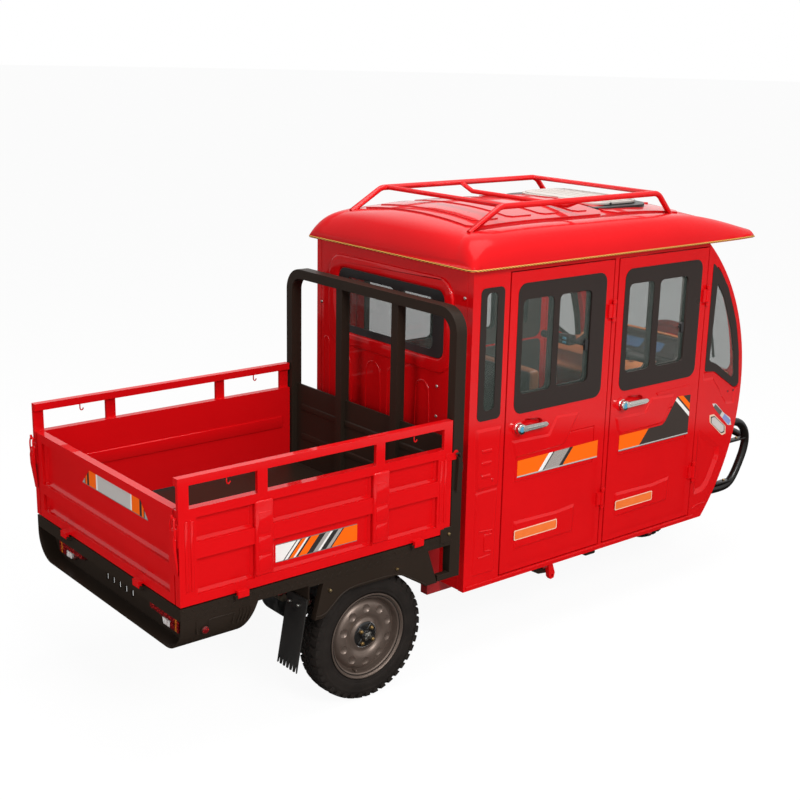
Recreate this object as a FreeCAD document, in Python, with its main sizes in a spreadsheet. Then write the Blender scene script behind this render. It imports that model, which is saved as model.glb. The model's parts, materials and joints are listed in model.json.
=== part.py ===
# Closed-cab cargo rickshaw: three wheels, a four-door cab and a load bed with drop sides.
# Millimetres, +X to the front, +Y to the left, +Z up, wheels standing on Z = 0.
# Lengths along X are counted from the rear face of the load bed, and RearX then sets each
# finished piece back, so that the origin lies under the middle of the vehicle.
import FreeCAD
import Part
import Sketcher
import math
import os
from FreeCAD import Placement, Rotation, Vector

# Driving dimensions
SIZES = {
    # Gaps between seated and between moving pieces, and how far a cutting block runs past
    "SeatGap": 0.3,
    "MovingGap": 5,
    "Overrun": 5,
    # Load bed
    "BedLength": 1160,
    "BedHalfWidth": 549,
    "FloorBottom": 540,
    "FloorTop": 586,
    "BoardBottom": 592,
    "PanelTop": 926,
    "RailTop": 1034,
    "BoardThick": 30,
    "RailTube": 28,
    "StanchionWidth": 40,
    "StanchionThick": 14,
    "StanchionInset": 13,
    "FrameEdge": 33,
    "PilasterWidth": 72,
    "PilasterRear": 288,
    "PilasterFore": 300,
    "BayDepth": 12,
    "SwageBottom": 749,
    "SwageTop": 807,
    "GateGap": 6,
    "GateSwageBottom": 689,
    "GateSwageTop": 729,
    # Board hinges
    "HookWidth": 43,
    "HookRear": 209,
    "HookFore": 143,
    "GateHook": 280,
    "HookOffset": 12,
    "HookPinZ": 583,
    "HookPin": 4,
    "HookBore": 4.5,
    "HookEye": 8,
    "HookRise": 48,
    "HookNeck": 4,
    "HookSide": 2,
    "LugWidth": 7,
    "LugReach": 6,
    "LugDrop": 9,
    # Guard between bed and cab
    "GuardDepth": 50,
    "GuardTube": 40,
    "GuardTop": 1450,
    "GuardFoot": 404,
    "GuardBend": 95,
    "GuardBarY": 180,
    "FootBar": 24,
    "HeadboardTop": 945,
    "HeadboardThick": 8,
    # Rear apron and lamps
    "ApronBottom": 416,
    "ApronBend": 105,
    "ApronRecess": 62,
    "ApronWall": 6,
    "SkirtLength": 300,
    "SkirtSlant": 62,
    "SkirtDepth": 119,
    "SlotWidth": 14,
    "SlotPitch": 48,
    "SlotBottom": 455,
    "SlotTop": 512,
    "LampInset": 90,
    "LampWidth": 202,
    "LampBottom": 450,
    "LampTop": 510,
    "LampDepth": 20,
    "LampBend": 10,
    "ReflectorX": 90,
    "ReflectorZ": 492,
    "ReflectorRadius": 13,
    "ReflectorDepth": 9,
    "BossDepth": 12,
    # Rear wheel guards and mud flaps, counted from the wheel's centre
    "GuardBridge": 480,
    "GuardLegBottom": 400,
    "RearLegEnd": 268,
    "RearLegInner": 230,
    "RearLegTop": 134,
    "FrontLegTop": 115,
    "FrontLegInner": 245,
    "FrontLegEnd": 300,
    "FrontGuardEnd": 252,
    "GuardLip": 24,
    "FlapReach": 296,
    "FlapPlate": 4,
    "FlapThick": 5,
    "FlapLean": 45,
    "FlapWidth": 126,
    "FlapTop": 470,
    "FlapBottom": 215,
    # Cab, its lengths along X counted from its rear wall
    "CabGap": 73,
    "CabHalfWidth": 496,
    "CabBottom": 291,
    "CabTop": 1585,
    "CabWall": 30,
    "FloorPlate": 30,
    "RearDoorStart": 187,
    "RearDoorEnd": 773,
    "FrontDoorStart": 794,
    "FrontDoorEnd": 1376,
    "DoorBottom": 315,
    "DoorTop": 1553,
    "LatchGap": 7,
    "DoorPanelInset": 62,
    "DoorPanelDepth": 5,
    "DoorPanelTop": 860,
    "WindowBottom": 993,
    "WindowTop": 1499,
    "WindowBend": 38,
    "RearWindowStart": 235,
    "RearWindowEnd": 725,
    "FrontWindowStart": 842,
    "FrontWindowEnd": 1331,
    "QuarterStart": 42,
    "QuarterEnd": 158,
    "PaneThick": 8,
    "PaneInset": 6,
    "BackWindowHalf": 335,
    "BackWindowBottom": 1205,
    "BackWindowTop": 1468,
    # Door hinges and handles
    "HingeOffset": 10,
    "HingeHeight": 88,
    "HingeLow": 484,
    "HingeHigh": 1294,
    "HingePin": 4,
    "HingeBore": 4.4,
    "HingeEye": 8,
    "HingeLug": 14,
    "HingeSide": 2,
    "HingeFoot": 16,
    "HingeLeaf": 30,
    "HandleZ": 917,
    "HandleLength": 150,
    "HandleInset": 90,
    "HandleStandoff": 26,
    "HandleThick": 8,
    "HandleHeight": 22,
    "HandlePost": 9,
    "HandlePostInset": 18,
    # Nose
    "NoseX": 1684,
    "NoseZ": 896,
    "NoseUpperRadius": 874,
    "NoseLowerRadius": 949,
    "NoseBulge": 110,
    "NoseWall": 25,
    "ScreenBottom": 930,
    "ScreenTop": 1520,
    "ScreenHalfWidth": 425,
    "ScreenGlass": 6,
    "ScreenBend": 57,
    "ArchHalfWidth": 255,
    "ArchTop": 575,
    "ArchBend": 90,
    "FrontQuarterX": 1412,
    "FrontQuarterMid": 1480,
    "FrontQuarterTip": 1637,
    "FrontQuarterStep": 10,
    "FrontQuarterMidZ": 985,
    "FrontQuarterTipZ": 882,
    "FrontQuarterTop": 1455,
    "PillarWidth": 24,
    "MirrorHoleZ": 866,
    "MirrorHoleX": 1598,
    "MirrorHolePitch": 36,
    "MirrorHoleRadius": 3.2,
    "HeadLampY": 300,
    "HeadLampZ": 762,
    "HeadLampRadius": 68,
    "HeadLampSet": 15,
    "HeadLampLength": 48,
    "HeadLampGap": 0.5,
    # Roof
    "EaveZ": 1571,
    "EaveHalfWidth": 526,
    "EaveRear": -30,
    "EaveLip": 12,
    "VisorSide": 1649,
    "VisorFront": 1772,
    "VisorTaper": 30,
    "RoofShoulder": 151,
    "CrownZ": 1735,
    "RoofSkin": 24,
    "RoofRim": 30,
    "RoofHollowShoulder": 100,
    "RackZ": 1780,
    "RackY": 368,
    "RackFootZ": 1690,
    "RackRear": 82,
    "RackRearBend": 240,
    "RackFrontBend": 1157,
    "RackFront": 1240,
    "RackTube": 12,
    "RackCross": 10,
    "RackCrossRear": 272,
    "RackCrossFront": 1145,
    "RackHoop": 690,
    "RackHoopHalf": 290,
    "RackHoopZ": 1748,
    "RackBend": 60,
    "VentRear": 912,
    "VentFront": 1322,
    "VentHalfWidth": 195,
    "VentBottom": 1741,
    "VentTop": 1768,
    "VentBend": 30,
    "CurbInset": 10,
    "CurbHeight": 80,
    # Chassis
    "RailInset": 219,
    "RailWidth": 40,
    "RailRear": 20,
    "RailBottom": 462,
    "RailLow": 246,
    "PostDepth": 60,
    "RiserX": 1252,
    "RiserDepth": 60,
    "BridgeBottom": 600,
    "BridgeTop": 660,
    "CrossWidth": 40,
    "CrossRear": 100,
    "CrossMid": 640,
    "CrossFore": 30,
    "OutriggerRear": 475,
    "OutriggerFront": 1139,
    "OutriggerWidth": 22,
    "OutriggerEnd": 470,
    "OutriggerBottom": 268,
    "GussetReach": 115,
    "GussetHalf": 28,
    "ShelfBottom": 682,
    "ShelfTop": 700,
    "ShelfFront": 1624,
    "ToeThick": 20,
    # Wheels and axle
    "RearWheelFore": 355.5,
    "WheelInset": 83,
    "FrontWheelX": 1662,
    "TyreRadius": 250,
    "TyreHalfWidth": 52,
    "TyreSeatInset": 6.5,
    "TyreShoulder": 18,
    "TyreCorner": 8,
    "TyreSide": 22,
    "TyreWall": 34,
    "BeadRadius": 152,
    "FlangeRadius": 167.5,
    "RimHalfWidth": 46,
    "RimWall": 5,
    "WellDepth": 18,
    "WellHalf": 13,
    "BeadSeat": 28,
    "HubRadius": 40,
    "HubStep": 60,
    "HubFace": 34,
    "FaceThick": 14,
    "SpindleRadius": 15.7,
    "BoreRadius": 16,
    "FrontSpindle": 9.7,
    "FrontBore": 10,
    "SpindleEnd": 18,
    "DimpleCircle": 108,
    "DimpleRadius": 11,
    "AxleRadius": 30,
    "DrumRadius": 88,
    "DrumWidth": 35,
    "DriveRadius": 100,
    "DriveHalf": 60,
    "MotorRadius": 72,
    "MotorEnd": 230,
    "SpringPad": 20,
    "SaddleHalf": 38,
    "SpringHalfLength": 270,
    "SpringRadius": 520,
    "SpringEye": 14,
    "HangerHalf": 20,
    "LeafThick": 8,
    "LeafWidth": 50,
    # Steering
    "Rake": 24,
    "SteerGroundX": 1722,
    "ForkSpread": 95,
    "ForkLeg": 18,
    "ForkFoot": 22,
    "StemRadius": 17,
    "HeadBore": 17.5,
    "HeadRadius": 30,
    "HeadRoom": 14,
    "HeadLow": 700,
    "HeadHigh": 880,
    "ClampLow": 644,
    "ClampHigh": 680,
    "ClampRear": 30,
    "ClampFront": 26,
    "ClampSide": 20,
    "BarHeight": 1150,
    "BarHalfWidth": 330,
    "BarBack": 40,
    "BarTube": 11,
    "BarClampHalf": 30,
    "GripRadius": 16,
    "GripLength": 110,
    "SwitchRadius": 21,
    "SwitchHalf": 25,
    "SwitchGap": 30,
    "DialHalf": 85,
    "DialDepth": 70,
    "DialHeight": 36,
    "MudguardGap": 14,
    "MudguardThick": 6,
    "MudguardSide": 12,
    "StayHalf": 14,
    "StayRise": 6,
    "StayThick": 11,
    # Inside
    "SeatRear": 642,
    "SeatFront": 1062,
    "SeatHalfWidth": 185,
    "SeatBottom": 540,
    "SeatTop": 630,
    "SeatBackTop": 1040,
    "SeatBend": 25,
    "BackThick": 80,
    "BackInset": 20,
    "StandInset": 40,
    "StandHalf": 170,
    "BenchFront": 472,
    "BenchHalfWidth": 440,
    "BenchBottom": 500,
    "BenchTop": 590,
    "BenchBackTop": 1000,
    "BatteryInset": 40,
    "BatteryHalf": 400,
    "DashRear": 1394,
    "DashFront": 1627,
    "DashBottom": 825,
    "DashTop": 960,
    # Bumper bar in front of the nose
    "BumperTube": 16,
    "BumperY": 455,
    "BumperFront": 1817,
    "BumperBend": 38,
    "BumperSeat": 12,
    "BumperHigh": 712,
    "BumperMid": 605,
    "BumperLow": 385,
    "BumperSet": 20,
    "BumperLean": 90,
    "BumperBow": 95,
    "BumperCross": 30,
}

doc = FreeCAD.newDocument("CargoRickshaw")
sheet = doc.addObject("Spreadsheet::Sheet", "Sizes")
for row, (alias, value) in enumerate(SIZES.items(), 1):
    sheet.set(f"A{row}", alias)
    sheet.set(f"B{row}", str(value))
    sheet.setAlias(f"B{row}", alias)
doc.recompute()


class Size:
    """A length or an angle: its value, and the sheet expression that gives it."""

    def __init__(self, value, text=None):
        self.value = float(value)
        self.text = text or f"({self.value:g})"

    def __add__(self, other):
        other = as_size(other)
        return Size(self.value + other.value, f"({self.text} + {other.text})")

    def __sub__(self, other):
        other = as_size(other)
        return Size(self.value - other.value, f"({self.text} - {other.text})")

    def __mul__(self, factor):
        return Size(self.value * factor, f"({self.text} * {factor:g})")

    def __truediv__(self, divisor):
        return Size(self.value / divisor, f"({self.text} / {divisor:g})")

    def __neg__(self):
        return Size(-self.value, f"(0 - {self.text})")

    def __radd__(self, other):
        return as_size(other) + self

    def __rsub__(self, other):
        return as_size(other) - self

    __rmul__ = __mul__


def as_size(value):
    """The value as a Size, so that plain numbers may stand beside sheet sizes."""
    return value if isinstance(value, Size) else Size(value)


class Sheet:
    """Every driving dimension by its name."""


for alias in SIZES:
    setattr(Sheet, alias, Size(sheet.get(alias), f"Sizes.{alias}"))
S = Sheet

# Places that follow the bed and the cab: from here on, along X, from the bed's rear face
S.CabRear = S.BedLength + S.MovingGap + S.GuardDepth + S.CabGap
CAB_PLACES = (
    "RearDoorStart RearDoorEnd FrontDoorStart FrontDoorEnd RearWindowStart RearWindowEnd "
    "FrontWindowStart FrontWindowEnd QuarterStart QuarterEnd NoseX FrontQuarterX FrontQuarterMid "
    "FrontQuarterTip MirrorHoleX EaveRear VisorSide VisorFront RackRear RackRearBend RackFrontBend "
    "RackFront RackCrossRear RackCrossFront RackHoop VentRear VentFront RiserX OutriggerRear "
    "OutriggerFront ShelfFront FrontWheelX SteerGroundX SeatRear SeatFront BenchFront DashRear "
    "DashFront BumperFront"
)
for alias in CAB_PLACES.split():
    setattr(S, alias, S.CabRear + getattr(S, alias))
S.PilasterFront = S.BedLength - S.PilasterFore - S.PilasterWidth
S.HookFront = S.BedLength - S.HookFore - S.HookWidth
S.RearWheelX = S.BedLength - S.RearWheelFore
S.RearWheelY = S.BedHalfWidth - S.WheelInset
S.RailY = S.BedHalfWidth - S.RailInset
S.LampOuter = S.BedHalfWidth - S.LampInset
S.LampInner = S.LampOuter - S.LampWidth
S.SkirtInner = S.BedHalfWidth - S.SkirtDepth
# The whole reaches from the tailgate's hooks to the bumper's bow
S.RearX = -(S.BumperFront + S.BumperBow + S.BumperTube - S.HookOffset - S.HookEye) / 2

NODES = []
LEAVES = 5


def bind(item, name, size):
    """Tie one property to its sheet expression."""
    item.setExpression(name, as_size(size).text)


def move(item, x=0, y=0, z=0):
    """Tie an object's place to the sheet."""
    bind(item, "Placement.Base.x", x)
    bind(item, "Placement.Base.y", y)
    bind(item, "Placement.Base.z", z)
    return item


def block(x0, x1, y0, y1, z0, z1):
    """A square block between two corners."""
    item = doc.addObject("Part::Box", "Block")
    bind(item, "Length", as_size(x1) - x0)
    bind(item, "Width", as_size(y1) - y0)
    bind(item, "Height", as_size(z1) - z0)
    return move(item, x0, y0, z0)


def rod(axis, start, end, a, b, radius):
    """A round bar along one axis; a and b place it on the other two, in the order x, y, z."""
    item = doc.addObject("Part::Cylinder", "Rod")
    bind(item, "Radius", radius)
    bind(item, "Height", as_size(end) - start)
    if axis == "x":
        item.Placement = Placement(Vector(), Rotation(Vector(0, 1, 0), 90))
        return move(item, start, a, b)
    if axis == "y":
        item.Placement = Placement(Vector(), Rotation(Vector(1, 0, 0), -90))
        return move(item, a, start, b)
    return move(item, a, b, start)


def fuse(*parts):
    """One object from several; solids that don't touch stay separate solids."""
    item = doc.addObject("Part::MultiFuse", "Fusion")
    item.Shapes = list(parts)
    item.Refine = True
    return item


def cut(base, *tools):
    """The base with each tool taken away."""
    item = doc.addObject("Part::Cut", "Cut")
    item.Base = base
    item.Tool = tools[0] if len(tools) == 1 else fuse(*tools)
    item.Refine = True
    return item


def common(first, second):
    """What two objects share."""
    item = doc.addObject("Part::Common", "Common")
    item.Base = first
    item.Tool = second
    return item


def mirror(source):
    """The same piece on the other side of the vehicle."""
    item = doc.addObject("Part::Mirroring", "Mirror")
    item.Source = source
    item.Normal = Vector(0, 1, 0)
    return item


def rounded_x(x0, x1, y0, y1, z0, z1, bend):
    """A block along X with its four long edges rounded."""
    parts = [
        block(x0, x1, y0 + bend, y1 - bend, z0, z1),
        block(x0, x1, y0, y1, z0 + bend, z1 - bend),
    ]
    for y in (y0 + bend, y1 - bend):
        for z in (z0 + bend, z1 - bend):
            parts.append(rod("x", x0, x1, y, z, bend))
    return fuse(*parts)


def rounded_y(x0, x1, y0, y1, z0, z1, bend):
    """A block along Y with its four long edges rounded."""
    parts = [
        block(x0 + bend, x1 - bend, y0, y1, z0, z1),
        block(x0, x1, y0, y1, z0 + bend, z1 - bend),
    ]
    for x in (x0 + bend, x1 - bend):
        for z in (z0 + bend, z1 - bend):
            parts.append(rod("y", y0, y1, x, z, bend))
    return fuse(*parts)


def node(item, label):
    """A finished piece, set back so that the origin lies under the middle."""
    item.Label = label
    places = [text for path, text in item.ExpressionEngine if path.endswith("Placement.Base.x")]
    item.setExpression("Placement.Base.x", " + ".join(places + [S.RearX.text]))
    NODES.append(item)
    return item


def twin(item, label):
    """The finished left-hand piece that matches a right-hand one."""
    item = mirror(item)
    item.Label = label
    NODES.append(item)
    return item


def shaped(shape, label):
    """A finished piece whose curved shape is computed here from the sheet's sizes."""
    item = doc.addObject("Part::Feature", label)
    item.Shape = shape
    item.Placement = Placement(Vector(S.RearX.value, 0, 0), Rotation())
    item.Label = label
    NODES.append(item)
    return item


def outline(sketch, corners):
    """A closed run of straight lines, each corner tied to its two sizes."""
    corners = [(as_size(a), as_size(b)) for a, b in corners]
    first = sketch.GeometryCount
    count = len(corners)
    points = [Vector(a.value, b.value, 0) for a, b in corners]
    lines = [Part.LineSegment(points[i], points[(i + 1) % count]) for i in range(count)]
    sketch.addGeometry(lines, False)
    for i, (a, b) in enumerate(corners):
        after = first + (i + 1) % count
        sketch.addConstraint(Sketcher.Constraint("Coincident", first + i, 2, after, 1))
        for kind, size in (("DistanceX", a), ("DistanceY", b)):
            place = Sketcher.Constraint(kind, -1, 1, first + i, 1, size.value)
            index = sketch.addConstraint(place)
            sketch.setExpression(f"Constraints[{index}]", size.text)


def rectangle(x0, x1, z0, z1):
    """The corners of an upright rectangle."""
    return [(x0, z0), (x1, z0), (x1, z1), (x0, z1)]


def sketch_on(body, role, offset=0):
    """An empty sketch on one of the body's origin planes."""
    sketch = body.newObject("Sketcher::SketchObject", "Sketch")
    planes = [plane for plane in body.Origin.OriginFeatures if plane.Role == role]
    sketch.AttachmentSupport = [(planes[0], "")]
    sketch.MapMode = "FlatFace"
    bind(sketch, "AttachmentOffset.Base.z", offset)
    return sketch


def slab(role, loops, thickness):
    """A body padded from closed outlines: the first is the edge, the rest are openings."""
    body = doc.addObject("PartDesign::Body", "Body")
    sketch = sketch_on(body, role)
    for corners in loops:
        outline(sketch, corners)
    pad = body.newObject("PartDesign::Pad", "Pad")
    pad.Profile = sketch
    bind(pad, "Length", thickness)
    return body


def recess(body, role, loops, face, depth):
    """Shallow pockets pressed into one face of a body."""
    sketch = sketch_on(body, role, face)
    for corners in loops:
        outline(sketch, corners)
    before = body.Tip
    pocket = body.newObject("PartDesign::Pocket", "Pocket")
    pocket.Profile = sketch
    bind(pocket, "Length", depth)
    doc.recompute()
    if pocket.Shape.Volume >= before.Shape.Volume:
        raise RuntimeError("a recess cuts nothing")


def corner_edges(shape, corners, along):
    """Names of the straight edges along one axis that stand at the given corners."""
    names = []
    for index, edge in enumerate(shape.Edges, 1):
        direction = edge.tangentAt(edge.FirstParameter)
        if abs(abs(direction.dot(along)) - 1) > 1e-6:
            continue
        foot = edge.Vertexes[0].Point
        for x, z in corners:
            if abs(foot.x - as_size(x).value) < 0.01 and abs(foot.z - as_size(z).value) < 0.01:
                names.append(f"Edge{index}")
                break
    return names


def round_corners(body, corners, bend):
    """Round the corners of an opening or an edge that runs along Y."""
    doc.recompute()
    before = body.Tip
    fillet = body.newObject("PartDesign::Fillet", "Fillet")
    fillet.Base = (before, corner_edges(before.Shape, corners, Vector(0, 1, 0)))
    bind(fillet, "Radius", bend)


def prism(corners, y0, y1):
    """A straight-sided block along Y whose side view has the given corners."""
    sketch = doc.addObject("Sketcher::SketchObject", "Sketch")
    sketch.Placement = Placement(Vector(), Rotation(Vector(1, 0, 0), 90))
    outline(sketch, corners)
    bind(sketch, "Placement.Base.y", y0)
    item = doc.addObject("Part::Extrusion", "Prism")
    item.Base = sketch
    item.DirMode = "Custom"
    item.Dir = Vector(0, 1, 0)
    item.Solid = True
    bind(item, "LengthFwd", as_size(y1) - y0)
    return item


def tube_along(points, radius, bend):
    """A round tube through points given in numbers, with an arc at each inner point."""
    points = [Vector(*point) for point in points]
    edges = []
    start = points[0]
    for before, corner, after in zip(points, points[1:], points[2:]):
        into = (before - corner).normalize()
        out = (after - corner).normalize()
        half = into.getAngle(out) / 2
        reach = bend / math.tan(half)
        middle = corner + (into + out).normalize() * (bend / math.sin(half) - bend)
        first = corner + into * reach
        last = corner + out * reach
        edges.append(Part.makeLine(start, first))
        edges.append(Part.Arc(first, middle, last).toShape())
        start = last
    edges.append(Part.makeLine(start, points[-1]))
    path = Part.Wire(edges)
    ring = Part.Wire([Part.makeCircle(radius, points[0], points[1] - points[0])])
    return path.makePipeShell([ring], True, False)


# The load bed's floor: a steel tray with folded edges; its hinge pins carry the boards
def board_hook(start):
    """A board's hinge hook on the right side: an eye round the pin and a leaf on the board."""
    end = start + S.HookWidth
    pin_y = -S.BedHalfWidth - S.HookOffset
    seam = S.BoardBottom + S.HookSide
    leaf = block(start, end, pin_y - S.HookEye, -S.BedHalfWidth, seam, S.HookPinZ + S.HookRise)
    neck = block(start, end, pin_y - S.HookEye, pin_y + S.HookNeck, S.HookPinZ, seam)
    eye = rod("x", start, end, pin_y, S.HookPinZ, S.HookEye)
    bore = rod("x", start, end, pin_y, S.HookPinZ, S.HookBore)
    return cut(fuse(leaf, neck, eye), bore)


def floor_hook(start):
    """Two lugs on the floor's right edge, with the pin through them."""
    end = start + S.HookWidth
    pin_y = -S.BedHalfWidth - S.HookOffset
    low = start - S.HookSide - S.LugWidth
    high = end + S.HookSide + S.LugWidth
    lugs = []
    for x0, x1 in ((low, start - S.HookSide), (end + S.HookSide, high)):
        lugs.append(block(x0, x1, pin_y - S.LugReach, -S.BedHalfWidth, S.HookPinZ - S.LugDrop,
                          S.FloorTop))
    return lugs + [rod("x", low, high, pin_y, S.HookPinZ, S.HookPin)]


def gate_hook(centre):
    """The tailgate's hinge hook."""
    start = centre - S.HookWidth / 2
    end = centre + S.HookWidth / 2
    pin_x = -S.HookOffset
    seam = S.BoardBottom + S.HookSide
    leaf = block(pin_x - S.HookEye, 0, start, end, seam, S.HookPinZ + S.HookRise)
    neck = block(pin_x - S.HookEye, pin_x + S.HookNeck, start, end, S.HookPinZ, seam)
    eye = rod("y", start, end, pin_x, S.HookPinZ, S.HookEye)
    bore = rod("y", start, end, pin_x, S.HookPinZ, S.HookBore)
    return cut(fuse(leaf, neck, eye), bore)


def floor_gate_hook(centre):
    """Two lugs on the floor's rear edge, with the pin through them."""
    start = centre - S.HookWidth / 2
    end = centre + S.HookWidth / 2
    pin_x = -S.HookOffset
    low = start - S.HookSide - S.LugWidth
    high = end + S.HookSide + S.LugWidth
    lugs = []
    for y0, y1 in ((low, start - S.HookSide), (end + S.HookSide, high)):
        lugs.append(block(pin_x - S.LugReach, 0, y0, y1, S.HookPinZ - S.LugDrop, S.FloorTop))
    return lugs + [rod("y", low, high, pin_x, S.HookPinZ, S.HookPin)]


def bed_floor():
    tray = block(0, S.BedLength + S.MovingGap - S.SeatGap, -S.BedHalfWidth, S.BedHalfWidth,
                 S.FloorBottom, S.FloorTop)
    right = fuse(*floor_hook(S.HookRear), *floor_hook(S.HookFront))
    gates = floor_gate_hook(S.GateHook) + floor_gate_hook(-S.GateHook)
    node(fuse(tray, right, mirror(right), *gates), "bed_floor")


# Side boards: a pressed panel in a frame, with a rail on four stanchions
def side_boards():
    inner = -S.BedHalfWidth + S.BoardThick
    panel = slab("XZ_Plane", [rectangle(0, S.BedLength, S.BoardBottom, S.PanelTop)], S.BoardThick)
    move(panel, 0, inner, 0)
    stile = S.FrameEdge * 2
    bays = (
        (stile, S.PilasterRear),
        (S.PilasterRear + S.PilasterWidth, S.PilasterFront),
        (S.PilasterFront + S.PilasterWidth, S.BedLength - stile),
    )
    loops = []
    for x0, x1 in bays:
        loops.append(rectangle(x0, x1, S.BoardBottom + S.FrameEdge, S.SwageBottom))
        loops.append(rectangle(x0, x1, S.SwageTop, S.PanelTop - S.FrameEdge))
    recess(panel, "XZ_Plane", loops, S.BoardThick, S.BayDepth)
    rail = block(0, S.BedLength, -S.BedHalfWidth, S.RailTube - S.BedHalfWidth,
                 S.RailTop - S.RailTube, S.RailTop)
    posts = []
    for x in (0, S.PilasterRear + S.StanchionInset, S.PilasterFront + S.StanchionInset,
              S.BedLength - S.StanchionWidth):
        posts.append(block(x, x + S.StanchionWidth, -S.BedHalfWidth,
                           S.StanchionThick - S.BedHalfWidth, S.PanelTop - S.Overrun,
                           S.RailTop - S.Overrun))
    hooks = [board_hook(S.HookRear), board_hook(S.HookFront)]
    right = node(fuse(panel, rail, *posts, *hooks), "side_board_right")
    twin(right, "side_board_left")


# Tailgate: the same pressing between the side boards
def tailgate():
    half = S.BedHalfWidth - S.BoardThick - S.GateGap
    panel = slab("YZ_Plane", [rectangle(-half, half, S.BoardBottom, S.PanelTop)], S.BoardThick)
    loops = [
        rectangle(-half + S.FrameEdge, half - S.FrameEdge, S.BoardBottom + S.FrameEdge,
                  S.GateSwageBottom),
        rectangle(-half + S.FrameEdge, half - S.FrameEdge, S.GateSwageTop,
                  S.PanelTop - S.FrameEdge),
    ]
    sketch = sketch_on(panel, "YZ_Plane")
    for corners in loops:
        outline(sketch, corners)
    before = panel.Tip
    pocket = panel.newObject("PartDesign::Pocket", "Pocket")
    pocket.Profile = sketch
    pocket.Reversed = True
    bind(pocket, "Length", S.BayDepth)
    doc.recompute()
    if pocket.Shape.Volume >= before.Shape.Volume:
        raise RuntimeError("the tailgate's bays cut nothing")
    hooks = [gate_hook(S.GateHook), gate_hook(-S.GateHook)]
    node(fuse(panel, *hooks), "tailgate")


# Guard: an arch of square tube behind the cab, with two bars and the bed's headboard
def head_guard():
    x0 = S.BedLength + S.MovingGap
    x1 = x0 + S.GuardDepth
    width = S.BedHalfWidth
    inner = width - S.GuardTube
    low = S.GuardFoot - S.GuardBend * 2
    over = S.Overrun
    outer = rounded_x(x0, x1, -width, width, low, S.GuardTop, S.GuardBend)
    hollow = rounded_x(x0 - over, x1 + over, -inner, inner, low - S.GuardBend,
                       S.GuardTop - S.GuardTube, S.GuardBend - S.GuardTube)
    below = block(x0 - over, x1 + over, -width - over, width + over, low - S.GuardBend,
                  S.GuardFoot)
    arch = cut(outer, hollow, below)
    bars = []
    for centre in (-S.GuardBarY, S.GuardBarY):
        bars.append(block(x0 + over, x1 - over, centre - S.GuardTube / 2,
                          centre + S.GuardTube / 2, S.FloorTop, S.GuardTop - S.GuardTube))
    sheet_x = x0 + S.GuardDepth / 2
    board = block(sheet_x, sheet_x + S.HeadboardThick, -inner, inner, S.FloorTop, S.HeadboardTop)
    foot = block(x0, x1, -inner, inner, S.FloorBottom, S.FloorTop)
    strut = block(S.RearWheelX + S.FrontLegEnd + S.SeatGap, x0, -width, -width + S.FootBar,
                  S.GuardFoot, S.GuardFoot + S.FootBar)
    node(fuse(arch, *bars, board, foot, strut, mirror(strut)), "head_guard")


# Rear apron: a recessed plate in a U-shaped rim that runs on as short side skirts
def rear_apron():
    top = S.FloorBottom - S.SeatGap
    width = S.BedHalfWidth
    wall = S.ApronWall
    over = S.Overrun
    above = top + S.ApronBend * 2
    length = S.SkirtLength
    plate = S.ApronRecess + wall
    outer = rounded_x(0, length, -width, width, S.ApronBottom, above, S.ApronBend)
    tub = rounded_x(-over, S.ApronRecess, -width + wall, width - wall, S.ApronBottom + wall,
                    above + over, S.ApronBend - wall)
    inside = rounded_x(plate, length + over, -width + wall, width - wall, S.ApronBottom + wall,
                       above + over, S.ApronBend - wall)
    centre = block(plate, length + over, -S.SkirtInner, S.SkirtInner, S.ApronBottom - over,
                   top + over)
    lid = block(-over, length + over, -width - over, width + over, top, above + over * 2)
    slant = prism([(length - S.SkirtSlant, S.ApronBottom - over), (length + over, S.ApronBottom - over),
                   (length + over, top), (length, top)], -width - over, width + over)
    slots = []
    for step in (-2, -1, 0, 1, 2):
        y = S.SlotPitch * step
        slots.append(block(S.ApronRecess - over, plate + over, y - S.SlotWidth / 2,
                           y + S.SlotWidth / 2, S.SlotBottom, S.SlotTop))
    pan = cut(outer, tub, inside, centre, lid, slant, *slots)
    boss = rod("y", -width, -width + S.BossDepth, S.ReflectorX, S.ReflectorZ,
               S.ReflectorRadius + S.HookSide)
    node(fuse(pan, boss, mirror(boss)), "rear_apron")


# Tail lamps on the apron plate and round reflectors on its skirts
def tail_lamps():
    front = S.ApronRecess - S.SeatGap
    lamp = rounded_x(front - S.LampDepth, front, -S.LampOuter, -S.LampInner, S.LampBottom,
                     S.LampTop, S.LampBend)
    face = -S.BedHalfWidth - S.SeatGap
    reflector = rod("y", face - S.ReflectorDepth, face, S.ReflectorX, S.ReflectorZ,
                    S.ReflectorRadius)
    node(fuse(lamp, mirror(lamp), reflector, mirror(reflector)), "tail_lamps")


# Wheel guards: a folded bridge over each rear tyre, with a plate that carries the flap
def wheel_guards():
    x = S.RearWheelX
    top = S.FloorBottom - S.SeatGap
    foot = S.GuardLegBottom
    bridge = S.GuardBridge
    corners = [
        (x - S.RearLegEnd, foot), (x - S.RearLegInner, foot), (x - S.RearLegTop, bridge),
        (x + S.FrontLegTop, bridge), (x + S.FrontLegInner, foot), (x + S.FrontLegEnd, foot),
        (x + S.FrontGuardEnd, top), (x - S.RearLegInner, top),
    ]
    y0 = -S.BedHalfWidth
    y1 = -S.RearWheelY - S.TyreHalfWidth - S.MovingGap
    arch = prism(corners, y0, y1)
    plate = x - S.FlapReach
    hanger = block(plate, plate + S.FlapPlate, y0, y0 + S.FlapWidth, S.FlapTop - S.FlapPlate, top)
    lip = block(plate, x - S.RearLegTop, y0, y0 + S.GuardLip, top - S.LugReach, top)
    right = fuse(arch, hanger, lip)
    node(fuse(right, mirror(right)), "wheel_guards")


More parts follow.
